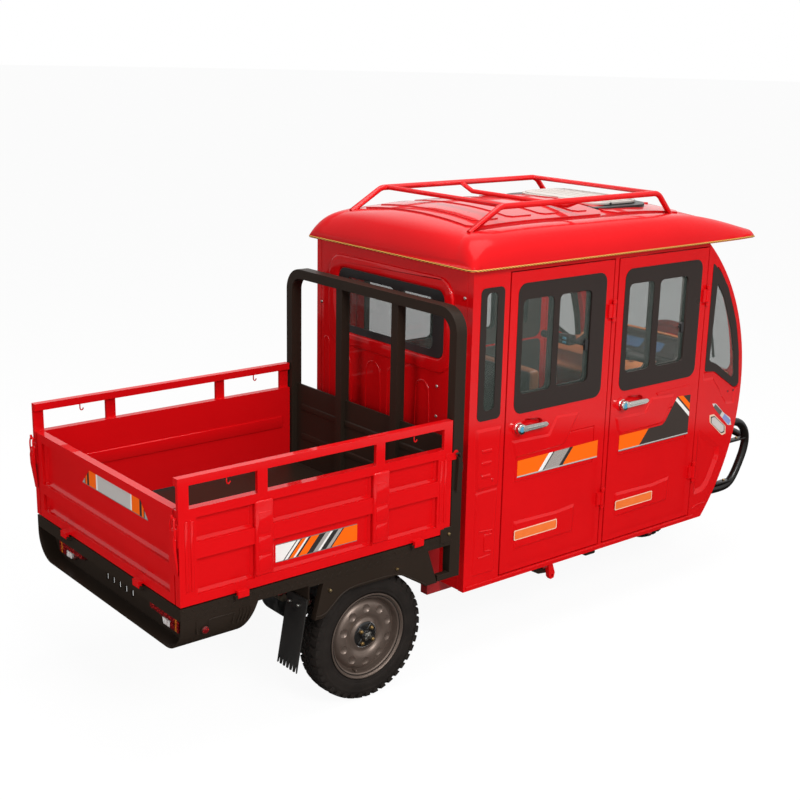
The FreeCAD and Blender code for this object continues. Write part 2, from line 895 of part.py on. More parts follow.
def mud_flaps():
    """A rubber sheet to a side, hung behind its plate and swept back by the wind."""
    x = S.RearWheelX - S.FlapReach - S.SeatGap
    y0 = -S.BedHalfWidth + S.FlapPlate
    flap = prism([
        (x - S.FlapThick, S.FlapTop + S.FlapPlate * 4), (x - S.FlapThick, S.FlapTop),
        (x - S.FlapThick - S.FlapLean, S.FlapBottom), (x - S.FlapLean, S.FlapBottom),
        (x, S.FlapTop), (x, S.FlapTop + S.FlapPlate * 4),
    ], y0, y0 + S.FlapWidth - S.FlapPlate)
    node(fuse(flap, mirror(flap)), "mud_flaps")


# Chassis: two rails under the bed that step down under the cab and rise to the steering head
def chassis_frame():
    out = S.RailY + S.RailWidth / 2
    inn = S.RailY - S.RailWidth / 2
    top = S.FloorBottom - S.SeatGap
    post_end = S.CabRear - S.SeatGap
    low_top = S.CabBottom - S.SeatGap
    riser_end = S.RiserX + S.RiserDepth
    side = [
        block(S.ApronRecess + S.RailRear, post_end, -out, -inn, S.RailBottom, top),
        block(post_end - S.PostDepth, post_end, -out, -inn, S.RailLow, top),
        block(post_end - S.PostDepth, riser_end, -out, -inn, S.RailLow, low_top),
        block(S.RiserX, riser_end, -out, -inn, S.RailLow, S.BridgeTop),
    ]
    for sign in (-1, 1):
        eye = S.RearWheelX + S.SpringHalfLength * sign
        side.append(block(eye - S.HangerHalf, eye + S.HangerHalf, -out, -inn,
                          eye_z() + S.SpringEye + S.SeatGap, S.RailBottom))
    cross = []
    for x in (S.OutriggerRear, S.OutriggerFront):
        side.append(block(x, x + S.OutriggerWidth, -S.OutriggerEnd, -inn, S.OutriggerBottom,
                          low_top))
        cross.append(block(x, x + S.CrossWidth, -inn, inn, S.RailLow, low_top))
    right = fuse(*side)
    for x in (S.CrossRear, S.CrossMid, S.BedLength - S.CrossFore):
        cross.append(block(x, x + S.CrossWidth, -inn, inn, S.RailBottom + S.RailWidth / 2, top))
    cross.append(block(S.RiserX, riser_end, -inn, inn, S.BridgeBottom, S.BridgeTop))
    over = S.Overrun
    gusset = prism([
        (riser_end - over, S.BridgeBottom), (riser_end + S.GussetReach, S.ClampLow + over * 2),
        (riser_end + S.GussetReach - over * 3, S.ShelfBottom - over),
        (riser_end - over, S.BridgeTop),
    ], -S.GussetHalf, S.GussetHalf)
    head = steering_rod(S.HeadLow, S.HeadHigh, S.HeadRadius)
    bore = steering_rod(S.ClampLow, S.HeadHigh + S.HeadRadius, S.HeadBore)
    node(cut(fuse(right, mirror(right), *cross, gusset, head), bore), "chassis_frame")


def eye_z():
    """Height of the spring eyes, at the ends of the longest leaf."""
    centre_z = S.TyreRadius + S.AxleRadius + S.SpringPad + S.SpringRadius
    middle = S.SpringRadius.value - S.LeafThick.value * (LEAVES - 0.5)
    drop = math.sqrt(middle ** 2 - S.SpringHalfLength.value ** 2)
    return centre_z - round(drop, 3)


def steering_rod(start, end, radius):
    """A round bar on the raked steering axis, between two distances along it."""
    item = doc.addObject("Part::Cylinder", "Rod")
    bind(item, "Radius", radius)
    bind(item, "Height", as_size(end) - start)
    item.Placement = Placement(Vector(), Rotation(Vector(0, -1, 0), S.Rake.value))
    bind(item, "Placement.Rotation.Angle", S.Rake)
    start = as_size(start).text
    ground = S.SteerGroundX.text
    item.setExpression("Placement.Base.x", f"{ground} - {start} * sin(Sizes.Rake * 1deg)")
    item.setExpression("Placement.Base.z", f"{start} * cos(Sizes.Rake * 1deg)")
    return item


# Rear axle: a tube with the drive housing, drums and spindles
def rear_axle():
    x = S.RearWheelX
    z = S.TyreRadius
    hub_inner = S.RearWheelY - S.RimHalfWidth
    end = S.RearWheelY + S.SpindleEnd
    drum_out = hub_inner - S.LugWidth
    drum_in = drum_out - S.DrumWidth
    parts = [
        rod("y", S.LugWidth - hub_inner, hub_inner - S.LugWidth, x, z, S.AxleRadius),
        rod("y", -end, end, x, z, S.SpindleRadius),
        rod("y", -S.DriveHalf, S.DriveHalf, x, z, S.DriveRadius),
        rod("y", S.DriveHalf, S.MotorEnd, x, z, S.MotorRadius),
        rod("y", -drum_out, -drum_in, x, z, S.DrumRadius),
        rod("y", drum_in, drum_out, x, z, S.DrumRadius),
    ]
    for y in (-S.RailY, S.RailY):
        parts.append(block(x - S.SaddleHalf, x + S.SaddleHalf, y - S.LeafWidth / 2,
                           y + S.LeafWidth / 2, z, z + S.AxleRadius + S.SpringPad - S.SeatGap))
    node(fuse(*parts), "rear_axle")


def leaf_springs():
    """Five curved leaves to a side, with an eye at each end of the longest."""
    x = S.RearWheelX.value
    low = S.TyreRadius.value + S.AxleRadius.value + S.SpringPad.value
    outer = S.SpringRadius.value
    thick = S.LeafThick.value
    half_width = S.LeafWidth.value / 2
    centre_z = low + outer
    y = S.RailY.value
    shortest = 0.42
    leaves = []
    for index in range(LEAVES):
        share = shortest + (1 - shortest) * index / (LEAVES - 1)
        reach = S.SpringHalfLength.value * share
        big = outer - thick * index
        small = big - thick
        angle = math.asin(reach * 2 / (big + small))
        face = arc_strip(x, centre_z, big, small, angle)
        face.translate(Vector(0, y - half_width, 0))
        leaves.append(face.extrude(Vector(0, half_width * 2, 0)))
    stack = leaves[0].fuse(leaves[1:])
    for sign in (-1, 1):
        foot = Vector(x + sign * S.SpringHalfLength.value, y - half_width, eye_z().value)
        eye = Part.makeCylinder(S.SpringEye.value, half_width * 2, foot, Vector(0, 1, 0))
        stack = stack.fuse(eye)
    stack = stack.removeSplitter()
    other = stack.mirror(Vector(), Vector(0, 1, 0))
    shaped(Part.makeCompound(stack.Solids + other.Solids), "leaf_springs")


def arc_strip(x, z, outer, inner, angle):
    """A flat curved strip in the side view, below the centre of its curve."""
    def at(radius, turn):
        return Vector(x + radius * math.sin(turn), 0, z - radius * math.cos(turn))
    wire = Part.Wire([
        Part.Arc(at(outer, -angle), at(outer, 0), at(outer, angle)).toShape(),
        Part.makeLine(at(outer, angle), at(inner, angle)),
        Part.Arc(at(inner, angle), at(inner, 0), at(inner, -angle)).toShape(),
        Part.makeLine(at(inner, -angle), at(outer, -angle)),
    ])
    return Part.Face(wire)


# Cab floor with the toe board, the shelf over the front wheel and the driver's seat stand
def cab_floor():
    half = S.CabHalfWidth - S.CabWall - S.SeatGap
    rear = S.CabRear + S.CabWall + S.SeatGap
    toe = S.RiserX - S.SeatGap
    top = S.CabBottom + S.FloorPlate
    parts = [
        block(rear, toe, -half, half, S.CabBottom, top),
        block(toe - S.ToeThick, toe, -half, half, top, S.ShelfTop),
        block(toe - S.ToeThick, S.ShelfFront, -half, half, S.ShelfBottom, S.ShelfTop),
        block(S.SeatRear + S.StandInset, S.SeatFront - S.StandInset, -S.StandHalf, S.StandHalf,
              top, S.SeatBottom - S.SeatGap),
    ]
    hole = steering_rod(S.HeadLow, S.HeadHigh, S.HeadRadius + S.HeadRoom)
    node(cut(fuse(*parts), hole), "cab_floor")


def battery_box():
    rear = S.CabRear + S.CabWall + S.BatteryInset
    front = S.BenchFront - S.BatteryInset
    top = S.CabBottom + S.FloorPlate + S.SeatGap
    node(block(rear, front, -S.BatteryHalf, S.BatteryHalf, top, S.BenchBottom - S.SeatGap),
         "battery_box")


def cab_rear_wall():
    half = S.CabHalfWidth - S.CabWall - S.SeatGap
    wall = block(S.CabRear, S.CabRear + S.CabWall, -half, half, S.CabBottom, S.CabTop)
    window = rounded_x(S.CabRear - S.Overrun, S.CabRear + S.CabWall + S.Overrun,
                       -S.BackWindowHalf, S.BackWindowHalf, S.BackWindowBottom, S.BackWindowTop,
                       S.WindowBend)
    node(cut(wall, window), "cab_rear_wall")


# Side view of the nose: an upper and a lower arc that meet upright at its foremost point
def nose_x(z, radius_loss=0.0):
    """Distance to the nose's outer face at a height, in numbers; the wall is a smaller arc."""
    radius = S.NoseUpperRadius.value if z > S.NoseZ.value else S.NoseLowerRadius.value
    drop = z - S.NoseZ.value
    return S.NoseX.value - radius + math.sqrt((radius - radius_loss) ** 2 - drop ** 2)


def side_profile(y0, y1, loss):
    """The cab's side view as a block along Y, its front edge set in by loss."""
    mid = S.CabRear + (S.NoseX - S.CabRear) / 2
    upper = common(
        block(S.CabRear, S.NoseX, y0, y1, S.NoseZ, S.CabTop),
        rod("y", y0, y1, S.NoseX - S.NoseUpperRadius, S.NoseZ, S.NoseUpperRadius - loss))
    lower = common(
        block(S.CabRear, S.NoseX, y0, y1, S.CabBottom, S.NoseZ),
        rod("y", y0, y1, S.NoseX - S.NoseLowerRadius, S.NoseZ, S.NoseLowerRadius - loss))
    return fuse(upper, lower, block(S.CabRear, mid, y0, y1, S.CabBottom, S.CabTop))


def front_quarter(y0, y1, inset):
    """The front quarter window's outline as a block along Y, smaller by inset."""
    x = S.FrontQuarterX + inset
    low = S.FrontQuarterTipZ + inset
    end = S.NoseX + S.PillarWidth
    corners = [
        (x, S.FrontQuarterMidZ + S.FrontQuarterStep + inset),
        (S.FrontQuarterMid, S.FrontQuarterMidZ + inset), (S.FrontQuarterTip, low), (end, low),
        (end, S.FrontQuarterTop - inset), (x, S.FrontQuarterTop - inset),
    ]
    return common(prism(corners, y0, y1), side_profile(y0, y1, S.PillarWidth + inset))


def hinge_lugs(x, low):
    """The pillar's half of a door hinge: two lugs and the pin between them."""
    y = -S.CabHalfWidth - S.HingeOffset
    high = low + S.HingeHeight
    parts = [rod("z", low, high, x, y, S.HingePin)]
    for z0, z1 in ((low, low + S.HingeLug), (high - S.HingeLug, high)):
        parts.append(block(x - S.HingeSide, x + S.HingeFoot, y, -S.CabHalfWidth, z0, z1))
        parts.append(rod("z", z0, z1, x, y, S.HingeEye))
    return parts


def cab_sides():
    outer = -S.CabHalfWidth
    inner = outer + S.CabWall
    y0 = outer - S.Overrun
    y1 = inner + S.Overrun
    openings = [
        rounded_y(S.QuarterStart, S.QuarterEnd, y0, y1, S.WindowBottom, S.WindowTop,
                  S.WindowBend / 2),
        front_quarter(y0, y1, as_size(0)),
    ]
    for x0, x1 in ((S.RearDoorStart, S.RearDoorEnd), (S.FrontDoorStart, S.FrontDoorEnd)):
        openings.append(block(x0, x1, y0, y1, S.DoorBottom, S.DoorTop))
    for x in (S.MirrorHoleX, S.MirrorHoleX + S.MirrorHolePitch):
        openings.append(rod("y", y0, y1, x, S.MirrorHoleZ, S.MirrorHoleRadius))
    slab_side = cut(side_profile(outer, inner, as_size(0)), *openings)
    lugs = []
    for end in (S.RearDoorEnd, S.FrontDoorEnd):
        for low in (S.HingeLow, S.HingeHigh):
            lugs += hinge_lugs(end - S.MovingGap / 2, low)
    right = node(fuse(slab_side, *lugs), "cab_side_right")
    twin(right, "cab_side_left")


# Doors: a flat shell with a window opening and a pressed lower panel, hinged at the front
def door_hinge(x, low):
    """The door's half of a hinge: an eye on the pin and a leaf on the door's face."""
    y = -S.CabHalfWidth - S.HingeOffset
    z0 = low + S.HingeLug + S.HingeSide
    z1 = low + S.HingeHeight - S.HingeLug - S.HingeSide
    eye = rod("z", z0, z1, x, y, S.HingeEye)
    leaf = block(x - S.HingeLeaf, x, y, -S.CabHalfWidth, z0, z1)
    bore = rod("z", z0, z1, x, y, S.HingeBore)
    return cut(fuse(eye, leaf), bore)


def door(place, start, end, window_start, window_end):
    """One right-hand door with its window pane and handle, and their left-hand twins."""
    outer = -S.CabHalfWidth
    x0 = start + S.LatchGap
    x1 = end - S.MovingGap
    z0 = S.DoorBottom + S.MovingGap
    z1 = S.DoorTop - S.MovingGap
    window = rectangle(window_start, window_end, S.WindowBottom, S.WindowTop)
    shell = slab("XZ_Plane", [rectangle(x0, x1, z0, z1), window], S.CabWall)
    round_corners(shell, window, S.WindowBend)
    panel = rectangle(x0 + S.DoorPanelInset, x1 - S.DoorPanelInset, z0 + S.DoorPanelInset,
                      S.DoorPanelTop)
    recess(shell, "XZ_Plane", [panel], S.CabWall, S.DoorPanelDepth)
    move(shell, 0, outer + S.CabWall, 0)
    hinge_x = end - S.MovingGap / 2
    hinges = [door_hinge(hinge_x, low) for low in (S.HingeLow, S.HingeHigh)]
    right = node(fuse(shell, *hinges), f"door_{place}_right")
    twin(right, f"door_{place}_left")
    gap = S.SeatGap
    face = outer + S.PaneInset
    pane = rounded_y(window_start + gap, window_end - gap, face, face + S.PaneThick,
                     S.WindowBottom + gap, S.WindowTop - gap, S.WindowBend)
    right = node(pane, f"door_{place}_window_right")
    twin(right, f"door_{place}_window_left")
    grip_start = x0 + S.HandleInset
    grip_end = grip_start + S.HandleLength
    stand = outer - S.HandleStandoff
    half = S.HandleHeight / 2
    bar = rounded_y(grip_start, grip_end, stand - S.HandleThick, stand, S.HandleZ - half,
                    S.HandleZ + half, half - S.SeatGap)
    posts = []
    for x in (grip_start + S.HandlePostInset, grip_end - S.HandlePostInset):
        posts.append(rod("y", stand - S.HandleThick / 2, outer - S.SeatGap, x, S.HandleZ,
                         S.HandlePost))
    right = node(fuse(bar, *posts), f"door_{place}_handle_right")
    twin(right, f"door_{place}_handle_left")


def doors():
    door("rear", S.RearDoorStart, S.RearDoorEnd, S.RearWindowStart, S.RearWindowEnd)
    door("front", S.FrontDoorStart, S.FrontDoorEnd, S.FrontWindowStart, S.FrontWindowEnd)


# Nose and windscreen: the side view carried across the cab, bulging to the front
def nose_wire(y, front_loss, back_loss, low, high):
    """One cross-section of the curved front, between two set-in arcs."""
    half = S.CabHalfWidth.value
    bulge = S.NoseBulge.value * (1 - (y / half) ** 2)
    mid_z = S.NoseZ.value

    def at(z, loss):
        return Vector(nose_x(z, loss) + bulge, y, z)

    return Part.Wire([
        Part.Arc(at(low, front_loss), at((low + mid_z) / 2, front_loss),
                 at(mid_z, front_loss)).toShape(),
        Part.Arc(at(mid_z, front_loss), at((mid_z + high) / 2, front_loss),
                 at(high, front_loss)).toShape(),
        Part.makeLine(at(high, front_loss), at(high, back_loss)),
        Part.Arc(at(high, back_loss), at((mid_z + high) / 2, back_loss),
                 at(mid_z, back_loss)).toShape(),
        Part.Arc(at(mid_z, back_loss), at((low + mid_z) / 2, back_loss),
                 at(low, back_loss)).toShape(),
        Part.makeLine(at(low, back_loss), at(low, front_loss)),
    ])


def nose_shell(front_loss, back_loss, low, high):
    """The curved front as a solid sheet from one cab side to the other."""
    half = S.CabHalfWidth.value - S.CabWall.value - S.SeatGap.value
    stations = [-half, -half / 2, 0, half / 2, half]
    wires = [nose_wire(y, front_loss, back_loss, low, high) for y in stations]
    return Part.makeLoft(wires, True, False)


def screen_block(inset):
    """The windscreen's opening as a rounded block along X, smaller by inset."""
    half = S.ScreenHalfWidth.value - inset
    low = S.ScreenBottom.value + inset
    high = S.ScreenTop.value - inset
    start = S.FrontDoorEnd.value - S.NoseBulge.value
    shape = Part.makeBox(S.VisorFront.value - start, half * 2, high - low,
                         Vector(start, -half, low))
    edges = [edge for edge in shape.Edges
             if abs(edge.tangentAt(edge.FirstParameter).x) > 0.9]
    return shape.makeFillet(S.ScreenBend.value, edges)


def cab_nose():
    shell = nose_shell(0, S.NoseWall.value, S.CabBottom.value, S.CabTop.value)
    start = S.FrontDoorEnd.value - S.NoseBulge.value
    reach = S.VisorFront.value - start
    half = S.ArchHalfWidth.value
    arch = Part.makeBox(reach, half * 2, S.ArchTop.value, Vector(start, -half, 0))
    edges = [edge for edge in arch.Edges
             if abs(edge.tangentAt(edge.FirstParameter).x) > 0.9
             and edge.Vertexes[0].Point.z > S.ArchBend.value]
    tools = [screen_block(0), arch.makeFillet(S.ArchBend.value, edges)]
    radius = S.HeadLampRadius.value + S.HeadLampGap.value
    for y in (-S.HeadLampY.value, S.HeadLampY.value):
        tools.append(Part.makeCylinder(radius, reach, Vector(start, y, S.HeadLampZ.value),
                                       Vector(1, 0, 0)))
    shaped(shell.cut(tools), "cab_nose")


def fixed_glass():
    """The windscreen, and apart from it the rear pane and the four quarter panes."""
    glass = nose_shell(S.PaneInset.value, S.PaneInset.value + S.ScreenGlass.value,
                       S.ScreenBottom.value - S.ScreenBend.value, S.CabTop.value)
    shaped(glass.common(screen_block(S.SeatGap.value)), "windscreen")
    outer = -S.CabHalfWidth + S.PaneInset
    gap = S.SeatGap
    quarter = rounded_y(S.QuarterStart + gap, S.QuarterEnd - gap, outer, outer + S.PaneThick,
                        S.WindowBottom + gap, S.WindowTop - gap, S.WindowBend / 2)
    front = front_quarter(outer, outer + S.PaneThick, gap)
    x = S.CabRear + S.PaneInset
    back = rounded_x(x, x + S.PaneThick, gap - S.BackWindowHalf, S.BackWindowHalf - gap,
                     S.BackWindowBottom + gap, S.BackWindowTop - gap, S.WindowBend)
    node(fuse(quarter, mirror(quarter), front, mirror(front), back), "fixed_glass")


# Roof: a crowned shell with an eave all round and a visor over the windscreen
def roof_section(x, half, crown, eave, shoulder_in):
    """One cross-section: a flat underside, two eave lips, rounded shoulders and a crown."""
    lip = eave + min(S.EaveLip.value, (crown - eave) * 0.4)
    shoulder = lip + (crown - lip) * 0.8
    y = half - shoulder_in
    bow = 0.3
    mid_y = half - shoulder_in * bow
    mid_z = lip + (shoulder - lip) * (1 - bow)
    points = [Vector(x, half, eave), Vector(x, half, lip), Vector(x, y, shoulder)]
    other = [Vector(x, -point.y, point.z) for point in points]
    return Part.Wire([
        Part.makeLine(other[0], points[0]),
        Part.makeLine(points[0], points[1]),
        Part.Arc(points[1], Vector(x, mid_y, mid_z), points[2]).toShape(),
        Part.Arc(points[2], Vector(x, 0, crown), other[2]).toShape(),
        Part.Arc(other[2], Vector(x, -mid_y, mid_z), other[1]).toShape(),
        Part.makeLine(other[1], other[0]),
    ])


def roof_stations():
    """Place, half-width, crown height and shoulder of each cross-section."""
    rear = S.EaveRear.value
    length = S.VisorFront.value - rear
    half = S.EaveHalfWidth.value
    taper = S.VisorTaper.value
    shoulder = S.RoofShoulder.value
    eave = S.EaveZ.value
    rise = S.CrownZ.value - eave
    # Shares of the length, of the taper in width, of the crown's rise and of the shoulder
    shares = (
        (0.000, 0.47, 0.20, 0.46), (0.007, 0.13, 0.42, 0.66), (0.022, 0.0, 0.68, 0.83),
        (0.050, 0.0, 0.87, 0.96), (0.105, 0.0, 0.97, 1.0), (0.41, 0.0, 1.0, 1.0),
        (0.69, 0.0, 0.90, 1.0), (0.80, 0.07, 0.70, 0.93), (0.888, 0.27, 0.42, 0.73),
        (0.943, 0.6, 0.22, 0.53), (1.0, 1.0, 0.09, 0.40),
    )
    return [(rear + length * along, half - taper * narrow, eave + rise * high, shoulder * inset)
            for along, narrow, high, inset in shares]


def roof_shell():
    eave = S.EaveZ.value
    over = S.Overrun.value
    wires = [roof_section(x, half, crown, eave, inset)
             for x, half, crown, inset in roof_stations()]
    shell = Part.makeLoft(wires, True, False)
    ceiling = S.CabTop.value + S.SeatGap.value
    rim = S.RoofRim.value
    inner = S.CabHalfWidth.value - S.CabWall.value - rim
    hollow = []
    for x, half, crown, inset in roof_stations()[3:7]:
        hollow.append(roof_section(x + rim, inner, crown - S.RoofSkin.value, eave - over,
                                   S.RoofHollowShoulder.value))
    shell = shell.cut(Part.makeLoft(hollow, True, False))
    # The underside steps up over the cab, and its front edge follows the windscreen's head
    wall = S.CabHalfWidth.value + S.SeatGap.value
    rear = S.CabRear.value - S.SeatGap.value
    head = nose_x(S.CabTop.value) + over * 4
    bulge = S.NoseBulge.value
    plan = Part.Wire([
        Part.makeLine(Vector(head, -wall, 0), Vector(rear, -wall, 0)),
        Part.makeLine(Vector(rear, -wall, 0), Vector(rear, wall, 0)),
        Part.makeLine(Vector(rear, wall, 0), Vector(head, wall, 0)),
        Part.Arc(Vector(head, wall, 0), Vector(head + bulge, 0, 0),
                 Vector(head, -wall, 0)).toShape(),
    ])
    step = Part.Face(plan).extrude(Vector(0, 0, ceiling))
    shell = shell.cut(step)
    # The visor's front edge is an arc in plan
    side = S.VisorSide.value
    tip = S.VisorFront.value - over
    wide = S.EaveHalfWidth.value + over
    back = S.EaveRear.value - over
    edge = Part.Wire([
        Part.makeLine(Vector(side, -wide, 0), Vector(back, -wide, 0)),
        Part.makeLine(Vector(back, -wide, 0), Vector(back, wide, 0)),
        Part.makeLine(Vector(back, wide, 0), Vector(side, wide, 0)),
        Part.Arc(Vector(side, wide, 0), Vector(tip, 0, 0), Vector(side, -wide, 0)).toShape(),
    ])
    shell = shell.common(Part.Face(edge).extrude(Vector(0, 0, S.RackZ.value)))
    inset = S.CurbInset.value
    curb = Part.makeBox(S.VentFront.value - S.VentRear.value - inset * 2,
                        (S.VentHalfWidth.value - inset) * 2, S.CurbHeight.value,
                        Vector(S.VentRear.value + inset, inset - S.VentHalfWidth.value,
                               S.VentBottom.value - S.SeatGap.value - S.CurbHeight.value))
    shell = shell.fuse(curb).removeSplitter()
    shaped(shell, "roof_shell")
    return shell


def roof_vent():
    node(rounded_vent(), "roof_vent")


def rounded_vent():
    """The lid of the roof hatch."""
    x0 = S.VentRear
    x1 = S.VentFront
    y = S.VentHalfWidth
    bend = S.VentBend
    parts = [
        block(x0 + bend, x1 - bend, -y, y, S.VentBottom, S.VentTop),
        block(x0, x1, bend - y, y - bend, S.VentBottom, S.VentTop),
    ]
    for x in (x0 + bend, x1 - bend):
        for side in (bend - y, y - bend):
            parts.append(rod("z", S.VentBottom, S.VentTop, x, side, bend))
    return fuse(*parts)


def roof_rack(roof):
    """Two bent side rails, a cross tube near each bend and a hoop that dips to the roof."""
    top = S.RackZ.value
    y = S.RackY.value
    foot_z = S.RackFootZ.value
    bend = S.RackBend.value
    parts = []
    for side in (-y, y):
        parts.append(tube_along([
            (S.RackRear.value, side, foot_z), (S.RackRearBend.value, side, top),
            (S.RackFrontBend.value, side, top), (S.RackFront.value, side, foot_z),
        ], S.RackTube.value, bend))
    radius = S.RackCross.value
    for x in (S.RackCrossRear.value, S.RackCrossFront.value):
        parts.append(Part.makeCylinder(radius, y * 2, Vector(x, -y, top), Vector(0, 1, 0)))
    x = S.RackHoop.value
    low = S.RackHoopZ.value
    parts.append(tube_along([
        (x, -y, top), (x, -S.RackHoopHalf.value, low), (x, S.RackHoopHalf.value, low), (x, y, top),
    ], radius, bend / 2))
    rack = parts[0].fuse(parts[1:])
    roof = roof.copy()
    roof.translate(Vector(0, 0, S.SeatGap.value))
    rack = rack.cut(roof)
    shaped(max(rack.Solids, key=lambda solid: solid.Volume), "roof_rack")


def head_lamps():
    rear = S.NoseX + S.HeadLampSet
    front = rear + S.HeadLampLength
    lamps = []
    for y in (-S.HeadLampY, S.HeadLampY):
        lamps.append(rod("x", rear, front, y, S.HeadLampZ, S.HeadLampRadius))
    node(fuse(*lamps), "head_lamps")


def bull_bar():
    """A bent hoop at each corner of the nose and a bowed cross tube between the hoops."""
    radius = S.BumperTube.value
    y = S.BumperY.value
    front = S.BumperFront.value
    seat = S.BumperSeat.value
    high = S.BumperHigh.value
    low = S.BumperLow.value
    parts = []
    for side in (-y, y):
        parts.append(tube_along([
            (nose_x(high) + seat, side, high),
            (front - S.BumperSet.value, side, high),
            (front + S.Overrun.value, side, S.BumperMid.value),
            (front - S.BumperLean.value, side, low),
            (nose_x(low) + seat, side, low),
        ], radius, S.BumperBend.value))
    z = S.BumperMid.value + S.BumperCross.value
    ends = front - S.HookEye.value
    arc = Part.Arc(Vector(ends, -y, z), Vector(front + S.BumperBow.value, 0, z),
                   Vector(ends, y, z)).toShape()
    ring = Part.Wire([Part.makeCircle(radius, arc.Vertexes[0].Point,
                                      arc.tangentAt(arc.FirstParameter))])
    parts.append(Part.Wire([arc]).makePipeShell([ring], True, False))
    bar = parts[0].fuse(parts[1:])
    bar = bar.cut(nose_shell(0, S.NoseWall.value, S.CabBottom.value, S.CabTop.value))
    shaped(max(bar.Solids, key=lambda solid: solid.Volume), "bull_bar")


# Inside the cab
def dashboard():
    half = S.CabHalfWidth - S.CabWall - S.SeatGap
    node(block(S.DashRear, S.DashFront, -half, half, S.DashBottom, S.DashTop), "dashboard")


def seat(rear, front, half, bottom, top, back_top, label):
    """A cushion and its backrest."""
    bend = S.SeatBend
    inset = S.BackInset
    cushion = rounded_y(rear, front, -half, half, bottom, top, bend)
    back = rounded_y(rear - inset, rear - inset + S.BackThick, -half, half, bottom + inset,
                     back_top, bend)
    node(fuse(cushion, back), label)


def seats():
    seat(S.SeatRear, S.SeatFront, S.SeatHalfWidth, S.SeatBottom, S.SeatTop, S.SeatBackTop,
         "driver_seat")
    bench_rear = S.CabRear + S.CabWall + S.SeatGap + S.BackInset
    seat(bench_rear, S.BenchFront, S.BenchHalfWidth, S.BenchBottom, S.BenchTop, S.BenchBackTop,
         "rear_bench")


# Wheels: a pressed steel rim and its tyre, turned about their own axis
def rim(label, x, y, hand, face_bore=0):
    """A rim whose closed face looks to -Y, or to +Y if hand is -1; the front one is bored."""
    body = doc.addObject("PartDesign::Body", "Rim")
    sketch = sketch_on(body, "XY_Plane")
    wide = S.RimHalfWidth
    wall = S.RimWall
    bead = S.BeadRadius
    tip = S.FlangeRadius
    well = S.BeadRadius - S.WellDepth
    seat_half = S.BeadSeat
    floor = S.WellHalf
    face = -S.HubFace
    back = face + S.FaceThick
    hub_face = face + S.HingeFoot / 2
    corners = [
        (face_bore, face), (S.HubRadius, face), (S.HubRadius, hub_face),
        (S.HubStep, hub_face + S.HingeSide), (well - wall, -floor - wall),
        (bead - wall, -seat_half - wall), (bead - wall, -wide), (tip, -wide),
        (tip, -wide + wall), (bead, -wide + wall), (bead, -seat_half), (well, -floor),
        (well, floor), (bead, seat_half), (bead, wide - wall), (tip, wide - wall), (tip, wide),
        (bead - wall, wide), (bead - wall, seat_half + wall), (well - wall, floor + wall),
        (well - wall, S.HookSide - floor), (S.HubStep, back + S.HingeSide),
        (S.HubRadius, back), (S.HubRadius, wide), (S.BoreRadius, wide), (S.BoreRadius, back),
        (face_bore, back),
    ]
    outline(sketch, corners)
    turned = body.newObject("PartDesign::Revolution", "Revolution")
    turned.Profile = sketch
    turned.ReferenceAxis = (sketch, ["V_Axis"])
    turned.Angle = 360
    doc.recompute()
    holes = sketch_on(body, "XZ_Plane", wide)
    circle = holes.addGeometry(Part.Circle(Vector(S.DimpleCircle.value, 0, 0),
                                           Vector(0, 0, 1), S.DimpleRadius.value), False)
    for kind, size in (("DistanceX", S.DimpleCircle), ("DistanceY", as_size(0))):
        index = holes.addConstraint(Sketcher.Constraint(kind, -1, 1, circle, 3, size.value))
        holes.setExpression(f"Constraints[{index}]", size.text)
    index = holes.addConstraint(Sketcher.Constraint("Radius", circle, S.DimpleRadius.value))
    holes.setExpression(f"Constraints[{index}]", S.DimpleRadius.text)
    pocket = body.newObject("PartDesign::Pocket", "Pocket")
    pocket.Profile = holes
    bind(pocket, "Length", wide)
    doc.recompute()
    pattern = body.newObject("PartDesign::PolarPattern", "PolarPattern")
    pattern.Originals = [pocket]
    pattern.Axis = (sketch, ["V_Axis"])
    pattern.Angle = 360
    pattern.Occurrences = 10
    body.Tip = pattern
    doc.recompute()
    if pattern.Shape.Volume >= turned.Shape.Volume:
        raise RuntimeError("the rim's holes cut nothing")
    return place_wheel(body, label, x, y, hand)


def tyre(label, x, y):
    """A tyre with rounded shoulders, seated between the rim's flanges."""
    body = doc.addObject("PartDesign::Body", "Tyre")
    sketch = sketch_on(body, "XY_Plane")
    bead = S.BeadRadius + S.SeatGap
    lip = S.FlangeRadius
    seat_half = S.RimHalfWidth - S.TyreSeatInset
    wide = S.TyreHalfWidth
    top = S.TyreRadius
    corner = S.TyreCorner
    right = [
        (bead, seat_half), (lip + 1, seat_half), (lip + corner, wide - S.MudguardThick),
        (lip + S.TyreWall, wide), (top - S.TyreSide, wide - S.HookNeck),
        (top - corner, wide - corner), (top, wide - S.TyreShoulder),
    ]
    left = [(radius, -side) for radius, side in right]
    outline(sketch, left + right[::-1])
    turned = body.newObject("PartDesign::Revolution", "Revolution")
    turned.Profile = sketch
    turned.ReferenceAxis = (sketch, ["V_Axis"])
    turned.Angle = 360
    return place_wheel(body, label, x, y, 1)


def place_wheel(body, label, x, y, hand):
    """Stand a wheel's piece on the ground at its axle."""
    if hand < 0:
        body.Placement = Placement(Vector(), Rotation(Vector(0, 0, 1), 180))
    body.Label = label
    move(body, x + S.RearX, y, S.TyreRadius)
    NODES.append(body)
    return body


def wheels():
    for side, y, hand in (("right", -S.RearWheelY, 1), ("left", S.RearWheelY, -1)):
        rim(f"rim_rear_{side}", S.RearWheelX, y, hand)
        tyre(f"tyre_rear_{side}", S.RearWheelX, y)
    rim("rim_front", S.FrontWheelX, as_size(0), 1, S.FrontBore)
    tyre("tyre_front", S.FrontWheelX, as_size(0))


